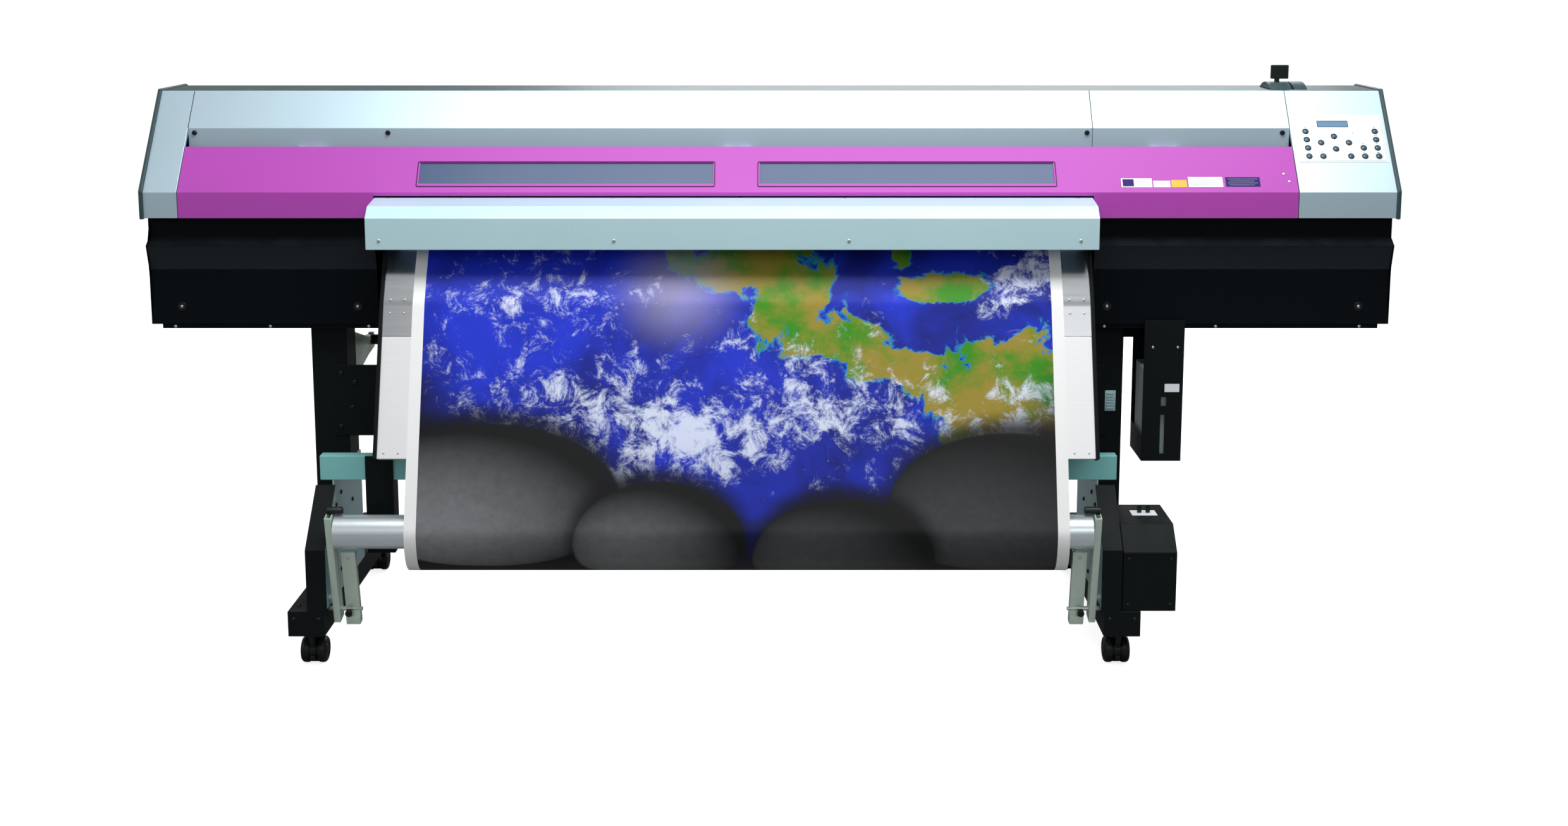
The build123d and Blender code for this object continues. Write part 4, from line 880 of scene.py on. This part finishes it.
class PRINTER_OT_print_bed(bpy.types.Operator):
    """Dress the bed, rail, carriage, rollers, motors and ink unit under the front cover."""

    bl_idname = "printer.print_bed"
    bl_label = "Print bed"

    def execute(self, context):
        dressed("bed_plate", "platen", "steel", 0.0004, lambda low, high: low.z > BED_UNDERSIDE)
        dressed("rear_guide", "platen", "shell", 0.0006, lambda low, high: low.z < BED_UNDERSIDE)
        dressed("guide_rail", "carriage_rail", "steel", 0.0006, lambda low, high: high.x - low.x > LONG_PART)
        dressed("shaft_hangers", "carriage_rail", "dark_fitting_and_gap_shadow", 0.0006, lambda low, high: high.x - low.x < LONG_PART)
        dressed("head_carriage", "print_carriage", "black_plastic", 0.0020, segments=3)
        dressed("drive_motors", "drive_units", "black_plastic", 0.0010, lambda low, high: high.x - low.x < LONG_PART)
        dressed("drive_belt", "drive_units", "belt", 0.0002, lambda low, high: high.x - low.x > LONG_PART)
        dressed("ink_unit", "ink_and_capping_unit", "black_plastic", 0.0012)
        dressed("feed_shaft", "grit_roller", "steel", 0.0004)
        dressed("pinch_arms_bank", "pinch_roller_arms", "steel", 0.0004)
        dressed("pinch_wheels", "pinch_rollers", "rubber", 0.0006)
        return {"FINISHED"}


class PRINTER_OT_dryer(bpy.types.Operator):
    """Build the dryer hood, its side frames and the curved plates."""

    bl_idname = "printer.dryer"
    bl_label = "Dryer"

    def execute(self, context):
        dressed("dryer_hood", "dryer_cover", "hood", 0.0010)
        dressed("dryer_sides", "dryer_side_frames", "stand", 0.0012)
        low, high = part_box("dryer_plates")
        upper = smoothed([(y + 0.0004, z - 0.0003) for y, z in WEB_PLATE[:6]], 0.008)
        piece("upper_plate", ribbon(upper, low[0], high[0], 0.002, 6), "dryer_plates", "polished")
        dressed("lower_plate", "dryer_plates", "bright", 0.0006, lambda low, high: high.z < 0.8)
        heads = []
        slope = (Vector((0, *WEB_PLATE[7])) - Vector((0, *WEB_PLATE[6]))).normalized()
        face = Vector((0, slope.z, -slope.y))
        for x in (low[0] + 0.014, low[0] + 0.044, high[0] - 0.044, high[0] - 0.014):
            for drop in (0.772, 0.745):
                side = Vector((0, -0.937, 0.349))
                heads.append(screw((x, -0.2053 - (0.7641 - drop) * 0.372, drop), side, 0.0026, 0.0012))
            heads.append(screw(Vector((x, *WEB_PLATE[7])) - slope * 0.012 + face * 0.0002, face, 0.0022, 0.0010))
        piece("plate_screws", gathered(heads), "dryer_plates", "screw", replace=False)
        heads = []
        for x, y in (
            (-0.838, -0.176), (-0.814, -0.124), (-0.334, -0.124), (0.160, -0.124), (0.658, -0.124), (0.679, -0.176),
        ):
            heads.append(screw((x, y, 0.9769 - 0.124 * (-0.124 - y)), (0, -0.124, 0.992), 0.0028, 0.0015))
        piece("hood_screws", gathered(heads), "dryer_cover", "screw", replace=False)
        return {"FINISHED"}


class PRINTER_OT_web(bpy.types.Operator):
    """Lay the printed web from the supply roll to the take-up roll."""

    bl_idname = "printer.web"
    bl_label = "Printed web"

    def execute(self, context):
        low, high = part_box("media_sheet")
        line = smoothed(WEB_REAR + WEB_PLATE + WEB_HANG, 0.008)
        marks = [0.0]
        for a, b in zip(line, line[1:]):
            marks.append(marks[-1] + (b - a).length)
        start = min(range(len(line)), key=lambda i: (line[i] - Vector(WEB_REAR[-1])).length)
        marks = [mark - marks[start] for mark in marks]
        web = piece(
            "printed_web", ribbon(line, low[0], high[0], 0.0006, 11, marks), "media_sheet", "print", sharp=60.0,
        )
        return {"FINISHED"}


class PRINTER_OT_stand(bpy.types.Operator):
    """Dress the legs, stay and cradles, and add their bolts and plates."""

    bl_idname = "printer.stand"
    bl_label = "Stand"

    def execute(self, context):
        def cradle(low, high):
            return low.y > 0.02 and low.z > 0.5

        dressed("legs", "stand_frame", "stand", 0.0016, lambda low, high: not cradle(low, high), 3)
        dressed("roll_cradles", "stand_frame", "zinc", 0.0010, cradle)
        heads, flats = [], []
        for x in (-0.945, -0.915, -0.922):
            heads.append(screw((x, -0.060, {-0.945: 0.582, -0.915: 0.562, -0.922: 0.505}[x]), FRONT, 0.0056, 0.0030))
        heads += [
            screw((x, -0.060, z), FRONT, 0.0056, 0.0030) for x, z in ((0.716, 0.575), (0.700, 0.470), (-0.948, 0.462))
        ]
        heads += [screw((side, -0.338, 0.118), FRONT, 0.0045, 0.0024) for side in (-0.995, -0.943, 0.711, 0.763)]
        heads += [screw((x, y, 0.135), UP, 0.0050, 0.0028) for x in (-0.992, 0.760) for y in (-0.300, 0.100, 0.340)]
        piece("leg_bolts", gathered(heads), "stand_frame", "bolt", replace=False)
        flats.append(slab((0.026, 0.0030, 0.046), (0.748, -0.0585, 0.520), width=0.0006))
        flats += [slab((0.015, 0.0030, 0.0030), (0.748, -0.0605, 0.504 + 0.0065 * k), width=0.0006) for k in range(6)]
        piece("leg_socket", gathered(flats), "stand_frame", "side_plate", replace=False)
        return {"FINISHED"}


class PRINTER_OT_take_up(bpy.types.Operator):
    """Dress the beam, side plates, drive box, dancer arms, idle tube and rolls."""

    bl_idname = "printer.take_up"
    bl_label = "Take-up"

    def execute(self, context):
        dressed("cross_beam", "take_up_frame", "beam", 0.0016, lambda low, high: high.x - low.x > 1.0, 3)
        dressed("side_plates", "take_up_frame", "side_plate", 0.0006, lambda low, high: high.x - low.x < LONG_PART)
        dressed("leg_braces", "take_up_brackets", "stand", 0.0008, lambda low, high: high.z < 0.385)
        dressed("core_bracket", "take_up_brackets", "stand", 0.0006, lambda low, high: high.z > 0.385)
        dressed("drive_box", "take_up_drive", "stand", 0.0016, lambda low, high: high.z < 0.3105 and low.z < 0.2, 3)
        dressed("drive_plate", "take_up_drive", "sticker_white", 0.0003, lambda low, high: low.z > 0.30)
        dressed("drive_motor", "take_up_drive", "dark_fitting_and_gap_shadow", 0.001, lambda low, high: 0.2 < low.z < 0.30)
        for node in ("drive_switch_mode", "drive_switch_direction"):
            dressed("toggle_" + node[13:], node, "black_plastic", 0.0008)
        self.drive_details()
        dressed("idle_tube", "dancer_tube", "aluminium", 0.0010)
        dressed("swing_arms", "dancer_arms", "zinc", 0.0010)
        self.arm_details()

        def wide(low, high):
            return 1.36 < high.x - low.x < 1.375

        dressed("wound_print", "take_up_core", "vinyl", 0.0004, wide)
        dressed("take_up_shaft", "take_up_core", "steel", 0.0008, lambda low, high: not wide(low, high))
        dressed("wound_supply", "supply_roll", "vinyl", 0.0004, wide)
        dressed("supply_shaft", "supply_roll", "black_plastic", 0.0010, lambda low, high: not wide(low, high))
        return {"FINISHED"}

    def drive_details(self):
        """A seam and screws on the drive box."""
        low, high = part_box("take_up_drive")
        parts = [
            screw((x, low[1], z), FRONT, 0.0032, 0.0016) for x in (low[0] + 0.012, high[0] - 0.012)
            for z in (0.150, 0.248)
        ]
        parts += [
            screw((high[0], y, z), (1, 0, 0), 0.0032, 0.0012) for y in (low[1] + 0.015, high[1] - 0.015)
            for z in (0.150, 0.245)
        ]
        piece("drive_screws", gathered(parts), "take_up_drive", "bolt", replace=False)
        seams = [
            slab((high[0] - low[0] - 0.010, 0.0016, 0.0012), ((low[0] + high[0]) / 2, low[1], 0.2590), width=0.0003)
        ]
        piece("drive_seam", gathered(seams), "take_up_drive", "dark_fitting_and_gap_shadow", replace=False)

    def arm_details(self):
        """Knobs, pins and collars of the two swinging arms, and the bolts of the plates."""
        low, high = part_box("dancer_arms")
        tube_low, tube_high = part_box("dancer_tube")
        lean = Vector((0.0, 0.0338, -0.153)).normalized()
        front = Vector((0.0, lean.z, -lean.y))
        levers, knobs, pins = [], [], []
        for outer, way in ((low[0], 1), (high[0], -1)):
            arm_x = outer + way * 0.025
            x = outer + way * 0.057
            foot = Vector((x, -0.301, 0.154)) + lean * 0.062
            head = Vector((x, -0.301, 0.154)) - lean * 0.108
            run = (head - foot).length
            axes = (Vector((1, 0, 0)), -lean, front)
            levers.append(slab((0.030, run, 0.0030), (foot + head) / 2, axes, 0.0010))
            for side in (-1, 1):
                levers.append(
                    slab((0.0030, run, 0.012), (foot + head) / 2 + Vector((side * 0.0135, 0, 0)) - front * 0.005,
                        axes, 0.0008)
                )
            levers.append(slab((0.030, 0.020, 0.010), foot + lean * -0.010 + front * 0.004, axes, 0.0015))
            pin = Vector((arm_x - way * 0.020, -0.301, 0.154)) + lean * 0.028
            pins.append(
                turned([(0.0, 0.0), (0.0050, 0.0), (0.0050, 0.040), (0.0038, 0.0405), (0.0038, 0.072), (0.0, 0.072)],
                    pin, (way, 0, 0), 20)
            )
            at = Vector((x - way * 0.008, -0.301, 0.154)) + lean * 0.034 + front * 0.001
            knobs.append(turned(
                [(0.0, -0.001), (0.0042, -0.001), (0.0042, 0.004), (0.0066, 0.005), (0.0074, 0.007), (0.0074, 0.012),
                    (0.0062, 0.0135), (0.0, 0.0138)],
                at, front, 14,
            ))
            pins.append(screw(Vector((x, -0.301, 0.154)) - lean * 0.095 + front * 0.0014, front, 0.0034, 0.0018))
            cap = Vector(
                (outer + way * 0.020, tube_low[1] * 0.5 + tube_high[1] * 0.5,
                    (tube_low[2] + tube_high[2]) / 2 + 0.045)
            )
            knobs.append(
                turned([(0.0, 0.0), (0.0085, 0.0), (0.0085, 0.030), (0.0072, 0.032), (0.0, 0.032)], cap, (way, 0, 0),
                    20)
            )
        piece("arm_levers", gathered(levers), "dancer_arms", "zinc", replace=False)
        piece("arm_knobs", gathered(knobs), "dancer_arms", "black_plastic", replace=False)
        piece("arm_screws", gathered(pins), "dancer_arms", "screw", replace=False)
        bolts = []
        plates = ((-0.9275, (1, 0, 0)), (0.6955, (-1, 0, 0)))
        for x, way in plates:
            for y, z in (
                (-0.215, 0.330), (-0.170, 0.345), (-0.120, 0.210), (-0.190, 0.180), (-0.150, 0.160), (-0.070, 0.300),
            ):
                bolts.append(screw((x, y, z), way, 0.0052, 0.0030))
        piece("plate_bolts", gathered(bolts), "take_up_frame", "bolt", replace=False)


class PRINTER_OT_bottle(bpy.types.Operator):
    """Dress the bottle holder and the waste bottle."""

    bl_idname = "printer.bottle"
    bl_label = "Waste bottle"

    def execute(self, context):
        dressed("bottle_pocket", "bottle_holder", "stand", 0.0006)
        dressed("ink_bottle", "waste_bottle", "bottle", 0.0030, lambda low, high: low.z < BOTTLE_NECK, 3)
        dressed("bottle_cap", "waste_bottle", "sticker_white", 0.0020, lambda low, high: low.z > BOTTLE_NECK, 3)
        low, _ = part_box("bottle_holder")
        label = slab((0.032, 0.0003, 0.018), (0.874, low[1] - 0.0002, 0.560))
        piece("holder_label", label, "bottle_holder", "sticker_white", replace=False)
        heads = [screw((x, low[1], 0.650), FRONT, 0.0030, 0.0015) for x in (0.830, 0.884)]
        piece("holder_screws", gathered(heads), "bottle_holder", "screw", replace=False)
        return {"FINISHED"}


class PRINTER_OT_casters(bpy.types.Operator):
    """Build the four twin-wheel casters."""

    bl_idname = "printer.casters"
    bl_label = "Casters"

    def execute(self, context):
        for corner in ("front_left", "rear_left", "front_right", "rear_right"):
            fork, wheels = "caster_fork_" + corner, "caster_wheels_" + corner
            low, high = (Vector(c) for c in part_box(wheels))
            centre = (low + high) / 2
            dressed("caster_body_" + corner, fork, "wheel", 0.0012)
            pivot = Vector((centre.x, centre.y - 0.018, 0.0))
            collar = turned(
                [(0.0, 0.0735), (0.0222, 0.0735), (0.0226, 0.0745), (0.0226, 0.0780), (0.0218, 0.0792),
                    (0.0, 0.0795)],
                pivot, UP, 32,
            )
            piece("caster_collar_" + corner, collar, fork, "zinc", replace=False)
            gap = high.x - low.x - 0.0405
            cover = turned(
                [(0.0, -gap / 2), (0.0262, -gap / 2), (0.0262, gap / 2), (0.0, gap / 2)], centre, (1, 0, 0), 32,
            )
            piece("caster_cover_" + corner, cover, fork, "wheel", replace=False)
            pedal = slab((0.010, 0.016, 0.012), centre + Vector((0.0, -0.022, -0.010)), width=0.0025, segments=3)
            piece("caster_pedal_" + corner, pedal, fork, "black_plastic", replace=False)
            radius = (high.z - low.z) / 2
            tyre = [
                (0.0041, 0.0), (0.0225, 0.0), (0.0255, 0.0010), (radius - 0.0008, 0.0035), (radius, 0.0060),
                (radius, 0.0130),
                (radius - 0.0012, 0.0165), (radius - 0.0040, 0.0190), (0.0205, 0.0200), (0.0190, 0.0188),
                (0.0110, 0.0182),
                (0.0095, 0.0196), (0.0041, 0.0196),
            ]
            pair = []
            for side, x in ((1, high.x - 0.020), (-1, low.x + 0.020)):
                pair.append(turned(tyre, (x, centre.y, centre.z), (side, 0, 0), 40, closed=True))
                for k in range(5):
                    turn = k * math.tau / 5
                    rib = slab(
                        (0.0014, 0.0085, 0.0022), (x + side * 0.0186, centre.y, centre.z + 0.0150), width=0.0004,
                    )
                    bmesh.ops.rotate(
                        rib, cent=(x, centre.y, centre.z), matrix=Matrix.Rotation(turn, 3, "X"), verts=rib.verts,
                    )
                    pair.append(rib)
            piece("caster_rollers_" + corner, gathered(pair), wheels, "wheel")
        return {"FINISHED"}


class PRINTER_OT_stage(bpy.types.Operator):
    """Set the pale floor, the soft lights and the camera."""

    bl_idname = "printer.stage"
    bl_label = "Stage"

    def execute(self, context):
        scene = context.scene
        scene.view_settings.view_transform = "Standard"
        bm = bmesh.new()
        bmesh.ops.create_grid(bm, x_segments=1, y_segments=1, size=30.0)
        mesh = bpy.data.meshes.new("floor")
        bm.to_mesh(mesh)
        bm.free()
        floor = bpy.data.objects.new("floor", mesh)
        scene.collection.objects.link(floor)
        mesh.materials.append(self.floor_finish())
        self.world(scene)
        for name, at, aim, size, power in (
            ("key_light", (0.30, -1.00, 3.00), (0.20, 0.0, 1.0), (2.8, 0.9), 80.0),
            ("front_fill", (0.3, -4.6, 2.6), (0.0, 0.0, 0.6), (3.6, 1.6), 22.0),
            ("left_fill", (-3.4, -1.6, 1.9), (-0.6, 0.0, 0.7), (1.6, 1.6), 10.0),
            ("rear_light", (0.6, 3.2, 2.6), (0.0, 0.0, 0.8), (3.0, 1.4), 55.0),
        ):
            lamp = bpy.data.lights.new(name, "AREA")
            lamp.shape = "RECTANGLE"
            lamp.size, lamp.size_y = size
            lamp.energy = power
            holder = bpy.data.objects.new(name, lamp)
            holder.location = at
            holder.rotation_euler = (Vector(aim) - Vector(at)).to_track_quat("-Z", "Y").to_euler()
            scene.collection.objects.link(holder)
        view = bpy.data.cameras.new("camera")
        view.lens = 42.37
        view.sensor_width = 36.0
        view.shift_y = -0.1024
        camera = bpy.data.objects.new("camera", view)
        camera.location = (0.030, -4.030, 1.469)
        camera.rotation_euler = (math.radians(90.0 - 8.85), 0.0, 0.0)
        scene.collection.objects.link(camera)
        scene.camera = camera
        return {"FINISHED"}

    def floor_finish(self):
        """White paper that keeps a faint shadow and throws little light back."""
        made = bpy.data.materials.new("floor_paper")
        made.use_nodes = True
        tree = made.node_tree
        tree.nodes.clear()
        where = shade(tree, "ShaderNodeTexCoord").outputs["Object"]
        fleck = shade(tree, "ShaderNodeTexNoise", {"Vector": where, "Scale": 40.0}).outputs[0]
        paper = mixed(tree, fleck, (0.80, 0.80, 0.80, 1.0), (0.84, 0.84, 0.84, 1.0))
        lit = shade(tree, "ShaderNodeBsdfDiffuse", {"Color": paper})
        glow = shade(tree, "ShaderNodeEmission", {"Color": (1.0, 1.0, 1.0, 1.0), "Strength": 0.80})
        seen = shade(tree, "ShaderNodeAddShader", {0: lit.outputs[0], 1: glow.outputs[0]})
        bounce = shade(tree, "ShaderNodeBsdfDiffuse", {"Color": (0.25, 0.25, 0.25, 1.0)})
        path = shade(tree, "ShaderNodeLightPath").outputs["Is Camera Ray"]
        both = shade(tree, "ShaderNodeMixShader", {0: path, 1: bounce.outputs[0], 2: seen.outputs[0]})
        output = shade(tree, "ShaderNodeOutputMaterial")
        tree.links.new(both.outputs[0], output.inputs["Surface"])
        return made

    def world(self, scene):
        """White behind the object, softer light on it."""
        world = bpy.data.worlds.new("studio")
        scene.world = world
        world.use_nodes = True
        tree = world.node_tree
        tree.nodes.clear()
        seen = shade(tree, "ShaderNodeLightPath").outputs["Is Camera Ray"]
        glow = shade(tree, "ShaderNodeBackground", {"Color": (0.97, 0.99, 1.0, 1.0), "Strength": 0.36})
        white = shade(tree, "ShaderNodeBackground", {"Color": (1.0, 1.0, 1.0, 1.0), "Strength": 1.0})
        both = shade(tree, "ShaderNodeMixShader", {0: seen, 1: glow.outputs[0], 2: white.outputs[0]})
        output = shade(tree, "ShaderNodeOutputWorld")
        tree.links.new(both.outputs[0], output.inputs["Surface"])


STEPS = (
    PRINTER_OT_finishes, PRINTER_OT_upper_body, PRINTER_OT_hatch, PRINTER_OT_control_panel, PRINTER_OT_lower_body,
    PRINTER_OT_print_bed, PRINTER_OT_dryer, PRINTER_OT_stand, PRINTER_OT_take_up, PRINTER_OT_web, PRINTER_OT_bottle,
    PRINTER_OT_casters, PRINTER_OT_stage,
)


class PRINTER_PT_panel(bpy.types.Panel):
    """Lists the steps that build the printer cutter."""

    bl_label = "Printer Cutter"
    bl_idname = "PRINTER_PT_panel"
    bl_space_type = "VIEW_3D"
    bl_region_type = "UI"
    bl_category = "Printer Cutter"

    def draw(self, context):
        column = self.layout.column()
        for name in PrinterCutterSettings.__annotations__:
            column.prop(context.scene.printer_cutter, name)
        for step in STEPS:
            column.operator(step.bl_idname)


CLASSES = (PrinterCutterSettings, *STEPS, PRINTER_PT_panel)


def register():
    """Registers the classes and the settings."""
    for cls in CLASSES:
        bpy.utils.register_class(cls)
    bpy.types.Scene.printer_cutter = bpy.props.PointerProperty(type=PrinterCutterSettings)


def unregister():
    """Removes what register added."""
    del bpy.types.Scene.printer_cutter
    for cls in reversed(CLASSES):
        bpy.utils.unregister_class(cls)


def main():
    """Builds every piece in order."""
    register()
    for step in STEPS:
        space, name = step.bl_idname.split(".")
        getattr(getattr(bpy.ops, space), name)()
    bpy.context.view_layer.update()


if __name__ == "__main__":
    main()
